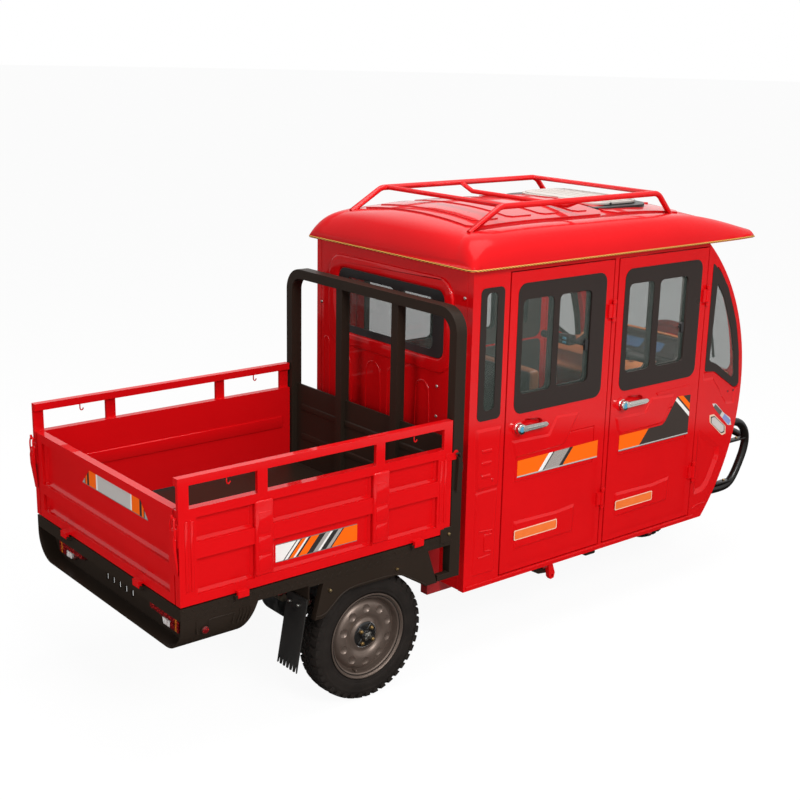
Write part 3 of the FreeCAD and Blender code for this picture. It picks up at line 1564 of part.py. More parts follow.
# Steering: built upright on its own axis, then leaned back by the rake
def raked(item, label):
    """A finished piece of the steering, leaned back about the point where its axis lands."""
    item.Placement = Placement(Vector(), Rotation(Vector(0, -1, 0), S.Rake.value))
    bind(item, "Placement.Rotation.Angle", S.Rake)
    item.Label = label
    move(item, S.SteerGroundX + S.RearX, 0, 0)
    NODES.append(item)
    return item


def wheel_reach():
    """Where the front axle lies in the steering's own upright frame: forward and up."""
    turn = math.radians(S.Rake.value)
    forward = S.FrontWheelX.value - S.SteerGroundX.value
    up = S.TyreRadius.value
    along = up * math.cos(turn) - forward * math.sin(turn)
    ahead = up * math.sin(turn) + forward * math.cos(turn)
    return as_size(round(ahead, 4)), as_size(round(along, 4))


def fork():
    ahead, up = wheel_reach()
    side = S.ForkSpread + S.ClampSide
    parts = [
        rod("y", -S.ForkSpread, S.ForkSpread, ahead, up, S.FrontSpindle),
        block(-S.ClampRear, ahead + S.ClampFront, -side, side, S.ClampLow, S.ClampHigh),
        rod("z", S.ClampLow, S.BarHeight - S.SwitchRadius, 0, 0, S.StemRadius),
    ]
    for y in (-S.ForkSpread, S.ForkSpread):
        parts.append(rod("z", up - S.ForkFoot, S.ClampHigh, ahead, y, S.ForkLeg))
    raked(fuse(*parts), "fork")


def handlebar():
    height = S.BarHeight
    half = S.BarHalfWidth
    back = -S.BarBack
    clamp_top = height + S.HingeLug
    clamp_low = height - S.SwitchRadius + S.SeatGap
    parts = [
        block(back - S.SwitchRadius / 2, S.ClampFront, -S.BarClampHalf, S.BarClampHalf,
              clamp_low, clamp_top),
        rod("y", -half, half, back, height, S.BarTube),
        block(0, S.DialDepth, -S.DialHalf, S.DialHalf, clamp_top, clamp_top + S.DialHeight),
    ]
    for sign in (-1, 1):
        low = -half if sign < 0 else half - S.GripLength
        parts.append(rod("y", low, low + S.GripLength, back, height, S.GripRadius))
        y = (half - S.GripLength - S.SwitchGap) * sign
        parts.append(rod("y", y - S.SwitchHalf, y + S.SwitchHalf, back, height, S.SwitchRadius))
    raked(fuse(*parts), "handlebar")


def front_mudguard():
    ahead, up = wheel_reach()
    inner = S.TyreRadius + S.MudguardGap
    outer = inner + S.MudguardThick
    half = S.TyreHalfWidth + S.MudguardSide
    over = S.Overrun
    ring = cut(rod("y", -half, half, ahead, up, outer),
               rod("y", -half - over, half + over, ahead, up, inner))
    reach = outer + S.BarClampHalf * 2
    keep = prism([
        (ahead - reach, up + S.RimHalfWidth), (ahead, up + S.TyreSide),
        (ahead + reach, up + S.GripLength), (ahead + reach, up + reach),
        (ahead - reach, up + reach),
    ], -half - over, half + over)
    stays = []
    low_z = up + S.TyreRadius + S.StayRise
    for sign in (-1, 1):
        inside = (half - S.HookNeck) * sign
        outside = (S.ForkSpread - S.ForkLeg - S.SeatGap) * sign
        low, high = (outside, inside) if sign < 0 else (inside, outside)
        stays.append(block(ahead - S.StayHalf, ahead + S.StayHalf, low, high, low_z,
                           low_z + S.StayThick))
    raked(fuse(common(ring, keep), *stays), "front_mudguard")


def build():
    """Every piece of the vehicle, from the load bed to the front wheel."""
    chassis_frame()
    rear_axle()
    leaf_springs()
    bed_floor()
    side_boards()
    tailgate()
    head_guard()
    rear_apron()
    tail_lamps()
    wheel_guards()
    mud_flaps()
    cab_floor()
    battery_box()
    cab_rear_wall()
    cab_sides()
    cab_nose()
    fixed_glass()
    doors()
    roof_rack(roof_shell())
    roof_vent()
    head_lamps()
    bull_bar()
    dashboard()
    seats()
    fork()
    handlebar()
    front_mudguard()
    wheels()
    doc.recompute()


def check():
    """Stop if any object failed or any piece is missing, broken or empty."""
    for item in doc.Objects:
        if "Invalid" in item.State or "Error" in item.State:
            raise RuntimeError(f"{item.Label} failed: {item.State}")
    for item in NODES:
        shape = item.Shape
        if shape.isNull() or not shape.isValid() or shape.Volume <= 0 or not shape.Solids:
            raise RuntimeError(f"{item.Label} has no valid shape")


def write():
    """One file for each piece, named after it."""
    os.makedirs("parts", exist_ok=True)
    for item in NODES:
        item.Shape.exportStep(f"parts/{item.Label}.step")


build()
check()
write()
total = 0.0
for item in NODES:
    total += item.Shape.Volume
print(f"{len(NODES)} pieces, {total / 1e9:.4f} cubic metres of solid")
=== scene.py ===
import json
import math

import bmesh
import bpy
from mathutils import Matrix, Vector

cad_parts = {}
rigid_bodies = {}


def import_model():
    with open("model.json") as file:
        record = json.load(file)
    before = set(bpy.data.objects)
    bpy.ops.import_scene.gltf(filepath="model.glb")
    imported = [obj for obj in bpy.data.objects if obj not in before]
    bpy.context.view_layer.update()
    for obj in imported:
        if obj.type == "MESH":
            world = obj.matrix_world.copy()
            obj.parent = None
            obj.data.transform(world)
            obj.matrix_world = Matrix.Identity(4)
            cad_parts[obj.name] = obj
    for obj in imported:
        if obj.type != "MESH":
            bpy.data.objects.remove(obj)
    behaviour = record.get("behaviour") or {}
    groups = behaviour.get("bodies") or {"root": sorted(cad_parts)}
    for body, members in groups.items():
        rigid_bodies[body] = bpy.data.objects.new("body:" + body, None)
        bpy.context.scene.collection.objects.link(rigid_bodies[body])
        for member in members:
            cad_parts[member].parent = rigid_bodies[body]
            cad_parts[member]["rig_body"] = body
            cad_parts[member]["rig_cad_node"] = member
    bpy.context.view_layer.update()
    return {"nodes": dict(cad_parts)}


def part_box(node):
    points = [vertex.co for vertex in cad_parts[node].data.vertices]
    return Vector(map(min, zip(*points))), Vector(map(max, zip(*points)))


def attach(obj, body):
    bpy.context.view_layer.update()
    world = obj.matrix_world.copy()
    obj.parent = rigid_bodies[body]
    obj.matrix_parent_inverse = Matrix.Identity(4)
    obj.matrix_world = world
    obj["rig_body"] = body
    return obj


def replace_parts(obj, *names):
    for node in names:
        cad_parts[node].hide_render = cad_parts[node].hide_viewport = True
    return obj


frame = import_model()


# The place: a pale studio floor under wide soft lamps, seen from behind the right rear wheel.
# The lamps are weak enough for the paint to show about the colour that it is given, and a
# small one under the cab's roof lights what the windows show.
def maths(operation):
    """A method that makes the node of one operation on a socket and the values after it."""
    def method(self, *others):
        return self.finish.add("ShaderNodeMath", {"operation": operation},
                               dict(enumerate((self, *others))))
    return method


class Socket:
    """One output of a material's node, so that a sum on it reads as a sum."""

    def __init__(self, finish, link):
        self.finish = finish
        self.link = link

    __add__ = maths("ADD")
    __sub__ = maths("SUBTRACT")
    __mul__ = maths("MULTIPLY")
    __truediv__ = maths("DIVIDE")
    __mod__ = maths("FLOORED_MODULO")
    __abs__ = maths("ABSOLUTE")
    __gt__ = maths("GREATER_THAN")
    __lt__ = maths("LESS_THAN")


class Finish:
    """A material: its colour, its roughness and the constants of its Principled shader."""

    def __init__(self, name, colour, roughness, **constants):
        self.material = bpy.data.materials.new(name)
        self.material.use_nodes = True
        self.tree = self.material.node_tree
        self.shader = self.tree.nodes["Principled BSDF"]
        self.set(Base_Color=(*colour, 1), Roughness=roughness, **constants)

    def set(self, **values):
        """Sets sockets of the shader, each to a constant or to another node's output."""
        for name, value in values.items():
            socket = self.shader.inputs[name.replace("_", " ")]
            if isinstance(value, Socket):
                self.tree.links.new(value.link, socket)
            else:
                socket.default_value = value

    def add(self, kind, settings, values, output=0):
        """Makes a node: its settings first, then the values or links of its sockets."""
        node = self.tree.nodes.new(kind)
        stops = settings.pop("stops", ())
        for setting, value in settings.items():
            setattr(node, setting, value)
        for index, (share, colour) in enumerate(stops):
            ramp = node.color_ramp.elements
            stop = ramp[index] if index < 2 else ramp.new(share)
            stop.position = share
            stop.color = (*colour, 1)
        for name, value in values.items():
            if isinstance(value, Socket):
                self.tree.links.new(value.link, node.inputs[name])
            else:
                node.inputs[name].default_value = value
        return Socket(self, node.outputs[output])

    def place(self, axis=None):
        """Where a point lies, in metres: all three numbers, or the one that is named."""
        point = self.add("ShaderNodeTexCoord", {}, {}, "Object")
        if axis is None:
            return point
        return self.add("ShaderNodeSeparateXYZ", {}, {0: point}, "XYZ".index(axis))

    def noise(self, scale, detail=3.0, stretch=(1, 1, 1)):
        point = self.add("ShaderNodeMapping", {}, {"Vector": self.place(), "Scale": stretch})
        values = {"Vector": point, "Scale": scale, "Detail": detail}
        return self.add("ShaderNodeTexNoise", {}, values)

    def ramp(self, share, *stops):
        """A colour that runs through stops, each a share and a colour or a grey."""
        stops = [(place, tone if isinstance(tone, tuple) else (tone,) * 3)
                 for place, tone in stops]
        return self.add("ShaderNodeValToRGB", {"stops": stops}, {0: share})

    def blend(self, share, first, second):
        """A colour between two others."""
        values = {0: share}
        for socket, colour in ((6, first), (7, second)):
            values[socket] = colour if isinstance(colour, Socket) else (*colour, 1)
        return self.add("ShaderNodeMix", {"data_type": "RGBA"}, values, 2)

    def bump(self, height, distance, strength=1.0):
        """Raises and lowers the surface by up to a distance in metres."""
        values = {"Height": height, "Distance": distance, "Strength": strength}
        self.set(Normal=self.add("ShaderNodeBump", {}, values))


scene = bpy.context.scene
scene.view_settings.view_transform = "Standard"
camera_data = bpy.data.cameras.new("camera")
camera_data.lens = 59.12
camera = bpy.data.objects.new("camera", camera_data)
scene.collection.objects.link(camera)
camera.location = (-3.54872, -4.03306, 2.39931)
camera.rotation_euler = (1.300781, -0.020723, -0.680633)
scene.camera = camera

world = bpy.data.worlds.new("studio")
scene.world = world
world.use_nodes = True
sky = world.node_tree
rays = sky.nodes.new("ShaderNodeLightPath")
level = sky.nodes.new("ShaderNodeMapRange")
level.inputs["To Min"].default_value = 0.3
level.inputs["To Max"].default_value = 1.0
seen = rays.outputs["Is Camera Ray"]
for other in ("Is Glossy Ray", "Is Transmission Ray"):
    either = sky.nodes.new("ShaderNodeMath")
    either.operation = "MAXIMUM"
    sky.links.new(seen, either.inputs[0])
    sky.links.new(rays.outputs[other], either.inputs[1])
    seen = either.outputs[0]
sky.links.new(seen, level.inputs["Value"])
sky.links.new(level.outputs[0], sky.nodes["Background"].inputs["Strength"])
sky.nodes["Background"].inputs["Color"].default_value = (1, 1, 1, 1)

for name, spot, aim, size, power in (
        ("key", (-1.6, -5.6, 4.6), (0, 0, 0.8), 2.6, 300),
        ("ceiling", (0.4, -0.4, 5.0), (0, 0, 0.8), 3.6, 150),
        ("rear", (-6.5, -0.6, 3.4), (0, 0, 0.8), 2.6, 95),
        ("cab", (0.75, -0.30, 1.54), (0.95, 0.1, 0.8), 0.3, 7)):
    lamp = bpy.data.lights.new(name, "AREA")
    lamp.shape = "DISK"
    lamp.size = size
    lamp.energy = power
    holder = bpy.data.objects.new(name, lamp)
    scene.collection.objects.link(holder)
    holder.location = spot
    way = Vector(aim) - Vector(spot)
    holder.rotation_euler = way.to_track_quat("-Z", "Y").to_euler()

bpy.ops.mesh.primitive_circle_add(vertices=96, radius=90, fill_type="NGON")
floor = bpy.context.object
floor.name = "floor"
pale = Finish("pale floor", (0.8, 0.8, 0.8), 0.9)
pale.set(Base_Color=pale.blend(pale.noise(2.0), (0.78, 0.78, 0.78), (0.81, 0.81, 0.81)))
glow = pale.tree.nodes.new("ShaderNodeEmission")
glow.inputs["Strength"].default_value = 1.04
rays = pale.add("ShaderNodeLightPath", {}, {}, "Is Camera Ray")
shade = pale.add("ShaderNodeMixShader", {}, {0: rays * 0.9})
pale.tree.links.new(pale.shader.outputs[0], shade.link.node.inputs[1])
pale.tree.links.new(glow.outputs[0], shade.link.node.inputs[2])
# Painted reflection: to glossy rays alone the floor near the vehicle is a dark emitter, so that
# the paint's lower panels mirror dark
away = pale.add("ShaderNodeVectorMath", {"operation": "DISTANCE"},
                {0: pale.place(), 1: (-0.11, 1.77, 0)}, 1)
near = pale.add("ShaderNodeMapRange", {}, {"Value": away, "From Min": 5.25, "From Max": 4.85})
mirrored_ray = pale.add("ShaderNodeLightPath", {}, {}, "Is Glossy Ray")
painted_dark_reflection = pale.add("ShaderNodeEmission", {}, {"Color": (0.03, 0.025, 0.02, 1)})
mirror = pale.add("ShaderNodeMixShader", {}, {0: near * mirrored_ray})
pale.tree.links.new(shade.link, mirror.link.node.inputs[1])
pale.tree.links.new(painted_dark_reflection.link, mirror.link.node.inputs[2])
pale.tree.links.new(mirror.link, pale.tree.nodes["Material Output"].inputs["Surface"])
floor.data.materials.append(pale.material)


# The chassis frame, its rear axle and leaf springs: square steel tube welded up and sprayed
# in a thinner, duller red than the body; the axle is bare cast iron, the leaves oiled steel.
def coat(node, finish):
    """Gives a piece of the frame its finish."""
    mesh = frame["nodes"][node].data
    mesh.materials.clear()
    mesh.materials.append(finish.material)


def enamel(name, colour, dark, roughness, **constants):
    """Sprayed paint: a skin with a fine orange peel, dulled here and there by handling."""
    paint = Finish(name, colour, roughness, **constants)
    paint.set(Base_Color=paint.blend(paint.noise(3.0), dark, colour),
              Roughness=paint.noise(7.0) * 0.12 + (roughness - 0.06))
    paint.bump(paint.noise(420.0, 1.0), 0.0002, 0.35)
    return paint


def mottled(name, roughness, light, dark, scale, detail=3.0, grain=(), gloss=(), **constants):
    """A finish of two tones. Grain is a bump's scale, depth, strength and detail; gloss is the
    scale, spread and least value of a wandering roughness."""
    finish = Finish(name, light, roughness, **constants)
    finish.set(Base_Color=finish.blend(finish.noise(scale, detail), dark, light))
    if grain:
        size, depth, strength, grain_detail = grain
        finish.bump(finish.noise(size, grain_detail), depth, strength)
    if gloss:
        size, spread, least = gloss
        finish.set(Roughness=finish.noise(size) * spread + least)
    return finish


frame_red = enamel("frame red", (0.42, 0.012, 0.014), (0.3, 0.008, 0.01), 0.42)
iron = Finish("cast iron", (0.05, 0.046, 0.043), 0.7, Metallic=0.6)
iron.set(Base_Color=iron.ramp(iron.noise(30.0), (0.35, 0.025), (0.7, 0.075)))
iron.bump(iron.noise(260.0, 4.0), 0.0006)
spring_steel = Finish("oiled steel", (0.12, 0.1, 0.075), 0.45, Metallic=0.85)
spring_steel.set(Base_Color=spring_steel.ramp(spring_steel.noise(18.0, 5.0, (1, 4, 1)),
                                              (0.35, (0.05, 0.042, 0.035)),
                                              (0.65, (0.2, 0.165, 0.12))))
coat("chassis_frame", frame_red)
coat("rear_axle", iron)
coat("leaf_springs", spring_steel)


# The bed's floor: black chequer plate, folded down along both sides as a sill.
# The plate's raised bars lie crosswise in pairs, in rows a finger's width apart.
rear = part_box("side_board_right")[0].x
side = -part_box("head_guard")[0].y


def only(*pieces):
    """Selects these pieces alone and makes the first one active."""
    bpy.ops.object.select_all(action="DESELECT")
    for piece in pieces:
        piece.select_set(True)
    bpy.context.view_layer.objects.active = pieces[0]


def copied(piece):
    only(piece)
    bpy.ops.object.duplicate()
    return bpy.context.object


def pick(kind, test):
    """Opens the active piece's mesh with just those parts selected that pass the test."""
    bpy.ops.object.mode_set(mode="EDIT")
    bpy.ops.mesh.select_mode(type=kind)
    bpy.ops.mesh.select_all(action="DESELECT")
    mesh = bmesh.from_edit_mesh(bpy.context.object.data)
    for part in {"VERT": mesh.verts, "EDGE": mesh.edges, "FACE": mesh.faces}[kind]:
        part.select_set(bool(test(part)))
    mesh.select_flush_mode()


def close():
    bpy.ops.object.mode_set(mode="OBJECT")


def push(test, step):
    """Moves those points of the active piece that pass the test."""
    pick("VERT", test)
    bpy.ops.transform.translate(value=step)
    close()


def block(low, high, bend=0.0, along=None):
    """A box between two corners, its edges along one axis or all of them rounded."""
    bpy.ops.object.select_all(action="DESELECT")
    middle = [(a + b) / 2 for a, b in zip(low, high)]
    bpy.ops.mesh.primitive_cube_add(size=1, location=middle)
    piece = bpy.context.object
    piece.scale = [abs(b - a) for a, b in zip(low, high)]
    bpy.ops.object.transform_apply(location=True, rotation=True, scale=True)
    if bend:
        def runs(edge):
            way = edge.verts[0].co - edge.verts[1].co
            return along is None or abs(way["xyz".index(along)]) > way.length * 0.99
        pick("EDGE", runs)
        bpy.ops.mesh.bevel(offset=bend, segments=3, affect="EDGES")
        close()
    return piece


def rod(start, end, radius, sides=20, edge=0.0):
    """A round bar between two points, its rims rounded."""
    bpy.ops.object.select_all(action="DESELECT")
    start, end = Vector(start), Vector(end)
    way = end - start
    bpy.ops.mesh.primitive_cylinder_add(vertices=sides, radius=radius, depth=way.length,
                                        location=(start + end) / 2,
                                        rotation=way.to_track_quat("Z", "Y").to_euler())
    piece = bpy.context.object
    bpy.ops.object.transform_apply(location=True, rotation=True, scale=True)
    if edge:
        pick("FACE", lambda face: len(face.verts) > 4)
        bpy.ops.mesh.bevel(offset=edge, segments=2, affect="EDGES")
        close()
    return piece


def cross_rod(x, z, y0, y1, *shape):
    """A round bar that lies across the vehicle."""
    return rod((x, y0, z), (x, y1, z), *shape)


def join(pieces):
    only(*pieces)
    bpy.ops.object.join()
    return bpy.context.object


def twin(piece):
    """Copies a piece to the other side of the plane y = 0."""
    other = copied(piece)
    other.scale.y = -1
    bpy.ops.object.transform_apply(location=False, rotation=False, scale=True)
    pick("FACE", lambda face: True)
    bpy.ops.mesh.flip_normals()
    close()
    return other


def fit(piece, name, body, finish, edge=0.0, fold=40, segments=2):
    """Names a finished piece, rounds its edges, smooths it, coats it and hangs it on."""
    only(piece)
    piece.name = name
    piece.data.name = name
    if edge:
        rounded = piece.modifiers.new("edge", "BEVEL")
        rounded.width = edge
        rounded.segments = segments
        rounded.limit_method = "ANGLE"
        rounded.angle_limit = math.radians(fold)
        bpy.ops.object.modifier_apply(modifier="edge")
    bpy.ops.object.shade_smooth_by_angle(angle=math.radians(fold))
    if edge:
        piece.modifiers.new("faces", "WEIGHTED_NORMAL").keep_sharp = True
        bpy.ops.object.modifier_apply(modifier="faces")
    piece.data.materials.clear()
    piece.data.materials.append(finish.material)
    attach(piece, body)
    return piece


def pressed(node, edge, finish, segments=2, fold=30):
    """Stands for a CAD piece: a copy of it with its sheet's edges rounded over."""
    piece = copied(frame["nodes"][node])
    del piece["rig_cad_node"]
    body = piece["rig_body"]
    bpy.ops.object.mode_set(mode="EDIT")
    bpy.ops.mesh.select_all(action="SELECT")
    bpy.ops.mesh.remove_doubles(threshold=2e-5)
    bpy.ops.mesh.dissolve_limited(angle_limit=math.radians(0.5))
    close()
    fit(piece, f"{node}_pressed", body, finish, edge, fold, segments)
    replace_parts(piece, node)
    return piece


black = enamel("black enamel", (0.026, 0.017, 0.012), (0.018, 0.012, 0.008), 0.42,
               Specular_IOR_Level=0.12)
pressed("bed_floor", 0.003, black)


def turn(piece, degrees, axis, centre):
    """Turns a piece about a line through a point, along one axis."""
    only(piece)
    bpy.ops.transform.rotate(value=-math.radians(degrees), orient_axis=axis,
                             center_override=centre)
    bpy.ops.object.transform_apply(location=True, rotation=True, scale=True)
    return piece


def row(piece, count, step):
    """Repeats a piece along a line."""
    only(piece)
    repeat = piece.modifiers.new("row", "ARRAY")
    repeat.count = count
    repeat.use_relative_offset = False
    repeat.use_constant_offset = True
    repeat.constant_offset_displace = step
    bpy.ops.object.modifier_apply(modifier="row")
    return piece


bar_pitch, bar_run = 0.034, 1.15
bars = []
for lean, x, z in ((45, 0.012, 0.573), (-45, 0.029, 0.553)):
    centre = Vector((rear + x, -side - 0.0002, z))
    bar = block(centre - Vector((0.009, 0.0012, 0.0022)), centre + Vector((0.009, 0.0012, 0.0022)),
                0.001)
    bars.append(turn(bar, lean, "Y", centre))
bars = row(join(bars), int(bar_run / bar_pitch), (bar_pitch, 0, 0))
fit(join([bars, twin(bars)]), "sill_bars", "chassis", black)


# The side boards: pressed red sheet on a welded frame, hinged at the sill on hooks, with a
# square rail on short posts above. Two raised straps stiffen each; a rib crosses every bay.
red = enamel("red enamel", (0.68, 0.004, 0.006), (0.58, 0.003, 0.005), 0.32,
             Specular_IOR_Level=0.02, Coat_Weight=0.55, Coat_Roughness=0.04)
hands = (("right", -1), ("left", 1))
bay_depth = 0.012
straps = (0.288, 0.788)
strap_width = 0.072


def facing(axis, place, slack=0.001):
    """A test for flat faces at one place along an axis."""
    index = "xyz".index(axis)
    return lambda face: (abs(face.normal[index]) > 0.99 and
                         abs(face.calc_center_median()[index] - place) < slack)


def carve(piece, cutter):
    """Cuts one shape out of another."""
    only(piece)
    cut = piece.modifiers.new("cut", "BOOLEAN")
    cut.object = cutter
    cut.operation = "DIFFERENCE"
    cut.solver = "MANIFOLD"
    bpy.ops.object.modifier_apply(modifier="cut")
    only(cutter)
    bpy.ops.object.delete()
    only(piece)
    return piece


for hand, sign in hands:
    board = pressed(f"side_board_{hand}", 0, red)
    pick("FACE", facing("y", sign * (side - bay_depth)))
    bpy.ops.mesh.inset(thickness=0.009, depth=-0.009, use_individual=True)
    close()
    carve(board, block((rear - 0.1, sign * (side + 0.0003), 0.602),
                       (rear + 1.3, sign * (side + 0.03), 0.66)))
    fit(board, f"side_board_{hand}_pressed", f"side_board_{hand}", red, 0.003)
    face = sign * side
    parts = []
    for x in straps:
        for low, high in ((0.648, 0.704), (0.716, 0.772), (0.784, 0.860)):
            parts.append(block((rear + x + 0.011, face, low),
                               (rear + x + strap_width - 0.011, face + sign * 0.0098, high),
                               0.0016))
        parts.append(block((rear + x, face - sign * 0.018, 0.632),
                           (rear + x + strap_width, face + sign * 0.008, 0.900), 0.007))
    for x in (0.022, 0.043, 1.104, 1.125):
        parts.append(block((rear + x, face - sign * 0.001, 0.640),
                           (rear + x + 0.011, face + sign * 0.0025, 0.885), 0.0024))
    # The swage shows as a shallow step on the inner face too
    inner = sign * (side - 0.030)
    parts.append(block((rear + 0.040, inner + sign * 0.001, 0.752),
                       (rear + 1.120, inner - sign * 0.0035, 0.803), 0.003))
    fit(join(parts), f"board_straps_{hand}", f"side_board_{hand}", red)


def wire(name, points, radius, order=3, sides=4):
    """A bent wire or tube along points, made a mesh."""
    bpy.ops.object.select_all(action="DESELECT")
    line = bpy.data.curves.new(name, "CURVE")
    line.dimensions = "3D"
    line.bevel_depth = radius
    line.bevel_resolution = sides
    line.use_fill_caps = True
    spline = line.splines.new("NURBS")
    spline.points.add(len(points) - 1)
    for point, spot in zip(spline.points, points):
        point.co = (*spot, 1)
    spline.order_u = order
    spline.use_endpoint_u = True
    piece = bpy.data.objects.new(name, line)
    scene.collection.objects.link(piece)
    only(piece)
    bpy.ops.object.convert(target="MESH")
    return bpy.context.object


def square(x0, x1, z0, z1):
    """The four corners of a rectangle across an axis."""
    return [(x0, z0), (x1, z0), (x1, z1), (x0, z1)]


def spots(*points):
    """Points whose first number counts forward from the bed's rear edge."""
    return [(rear + x, *rest) for x, *rest in points]


def bent(name, y, path, radius, order=3, sides=4):
    """A wire in an upright plane along the vehicle; its path gives places forward and up."""
    return wire(name, [(rear + x, y, z) for x, z in path], radius, order, sides)


def prism(corners, axis, low, high):
    """A plate with straight corners, given across one axis, between two places along it."""
    low, high = sorted((low, high))
    bpy.ops.object.select_all(action="DESELECT")
    bpy.ops.mesh.primitive_circle_add(vertices=len(corners), fill_type="NGON")
    piece = bpy.context.object
    index = "xyz".index(axis)
    for vertex, corner in zip(piece.data.vertices, corners):
        spot = list(corner)
        spot.insert(index, low)
        vertex.co = spot
    pick("FACE", lambda face: True)
    step = [0, 0, 0]
    step[index] = high - low
    bpy.ops.mesh.extrude_region_move(TRANSFORM_OT_translate={"value": step})
    bpy.ops.mesh.select_all(action="SELECT")
    bpy.ops.mesh.normals_make_consistent(inside=False)
    close()
    return piece


# Small parts of the boards: rope hooks bent from rod under each rail, a red over-centre
# latch at each rear corner, and at the front a tab that a black buckle on the guard holds.
zinc = Finish("zinc plate", (0.5, 0.5, 0.48), 0.35, Metallic=1.0)
zinc.set(Base_Color=zinc.ramp(zinc.noise(60.0), (0.35, (0.4, 0.39, 0.36)),
                              (0.7, (0.62, 0.61, 0.57))))
brass = Finish("yellow zinc plate", (0.62, 0.45, 0.2), 0.35, Metallic=1.0)
brass.set(Base_Color=brass.ramp(brass.noise(80.0), (0.35, (0.45, 0.3, 0.13)),
                                (0.7, (0.75, 0.58, 0.3))))
rail_low = 1.006
for hand, sign in hands:
    body = f"side_board_{hand}"
    hooks = []
    for x in (0.190, 0.985):
        y = sign * (side - 0.014)
        hooks.append(bent("hook", y, [(x + ahead, rail_low + up) for ahead, up in (
            (0, 0.002), (0, -0.012), (0, -0.022), (0.004, -0.028), (0.011, -0.028),
            (0.014, -0.020))], 0.0024))
    fit(join(hooks), f"rope_hooks_{hand}", body, red)
    y = sign * (side - 0.015)
    plate = prism(square(y - 0.013, y + 0.013, 0.880, 0.80), "x", rear - 0.0035, rear + 0.0005)
    lever = prism(spots((-0.004, 0.868), (-0.014, 0.862), (-0.0195, 0.835), (-0.0185, 0.800),
                        (-0.009, 0.735), (-0.004, 0.700), (-0.0035, 0.740), (-0.008, 0.795)),
                  "y", y - 0.0125, y + 0.0125)
    pin = cross_rod(rear - 0.012, 0.828, y - 0.0145, y + 0.0145, 0.0048, 16, 0.0012)
    loop = wire("loop", spots((-0.013, y - 0.0135, 0.842), (-0.0165, y - 0.0135, 0.880),
                              (-0.0115, y - 0.010, 0.905), (-0.0115, y + 0.010, 0.905),
                              (-0.0165, y + 0.0135, 0.880), (-0.013, y + 0.0135, 0.842)), 0.003)
    hook = bent("catch", y, [(0.001, 0.896), (-0.008, 0.897), (-0.0155, 0.902),
                             (-0.015, 0.914)], 0.0045)
    fit(join([plate, lever, pin, loop, hook]), f"corner_latch_{hand}", body, red,
        0.0014)
    face = sign * (side + 0.0012)
    front = rear + 1.16
    tab = block((front - 0.030, face - 0.0012, 0.880), (front + 0.026, face + 0.0012, 0.908),
                0.0008)
    ear = cross_rod(front + 0.018, 0.905, face - 0.0012, face + 0.0012, 0.012)
    fit(join([tab, ear]), f"front_tab_{hand}", body, red, 0.0006)


# The stripes: printed film on the boards and doors, slanted bands of white, grey and orange
# between two fine dark lines. The places of the words on it are left plain.
def film(name, across, along, bands, low, high, lean, edge=0.04):
    """Slanted bands along an axis: each stop is a share of the film's length and a colour."""
    printed = Finish(name, (0.8, 0.8, 0.8), 0.35, Specular_IOR_Level=0.1)
    length = along[1] - along[0]
    share = (printed.place(across) - along[0] + (printed.place("Z") - low) * lean) / length
    colour = printed.ramp(share, *bands)
    colour.link.node.color_ramp.interpolation = "CONSTANT"
    height = (printed.place("Z") - low) / (high - low)
    rim = (height < edge) + (height > 1 - edge)
    printed.set(Base_Color=printed.blend(rim, colour, (0.16, 0.15, 0.15)))
    return printed


white = (0.78, 0.77, 0.74)
grey = (0.35, 0.33, 0.31)
dark = (0.03, 0.028, 0.027)
orange = (0.92, 0.13, 0.0)
board_bands = [(0.0, white), (0.08, dark), (0.095, white), (0.13, dark), (0.15, orange),
               (0.2, white), (0.23, dark), (0.26, orange), (0.36, dark), (0.44, grey),
               (0.5, white), (0.53, dark), (0.6, grey), (0.65, dark), (0.67, orange)]
for hand, sign in hands:
    # The film lies on the middle bay's floor, under the rib
    low, high = 0.650, 0.716
    x0, x1 = rear + 0.385, rear + 0.735
    y = sign * (side - 0.0208)
    sticker = block((x0, y - 0.0003, low), (x1, y + 0.0003, high), 0.003, "y")
    stripes = film(f"board stripes {hand}", "X", (x0, x1), board_bands, low, high, -0.9)
    fit(sticker, f"board_stripes_{hand}", f"side_board_{hand}", stripes)


# The wheels: a pressed steel rim sprayed taupe grey, its dished face stiffened by a ring of
# round dimples, on a black four-armed hub with yellow nuts; a cross-country tyre round it.
axle_x = rear + 0.8045
axle_y = 0.466
front_x = rear + 2.950
tyre_radius = 0.250


def spun(corners, steps, axis):
    """A turned shape: a closed outline of radius and place, spun round an axis line."""
    bpy.ops.object.select_all(action="DESELECT")
    bpy.ops.mesh.primitive_circle_add(vertices=len(corners), fill_type="NOTHING")
    piece = bpy.context.object
    for vertex, (radius, place) in zip(piece.data.vertices, corners):
        vertex.co = {"x": (place, 0, radius), "y": (radius, place, 0),
                     "z": (radius, 0, place)}[axis]
    pick("EDGE", lambda edge: True)
    line = {"x": (1, 0, 0), "y": (0, 1, 0), "z": (0, 0, 1)}[axis]
    bpy.ops.mesh.spin(steps=steps, angle=math.radians(360), center=(0, 0, 0), axis=line)
    bpy.ops.mesh.select_all(action="SELECT")
    bpy.ops.mesh.remove_doubles(threshold=1e-6)
    bpy.ops.mesh.normals_make_consistent(inside=False)
    close()
    return piece


def ring(piece, count):
    """Repeats a piece round the wheel's axis."""
    only(piece)
    pick("FACE", lambda face: True)
    bpy.ops.mesh.spin(steps=count, dupli=True, angle=math.radians(360), center=(0, 0, 0),
                      axis=(0, 1, 0))
    bpy.ops.mesh.select_all(action="SELECT")
    bpy.ops.mesh.remove_doubles(threshold=1e-6)
    close()
    return piece


def moved(piece, step):
    only(piece)
    bpy.ops.transform.translate(value=step)
    bpy.ops.object.transform_apply(location=True, rotation=False, scale=False)
    return piece


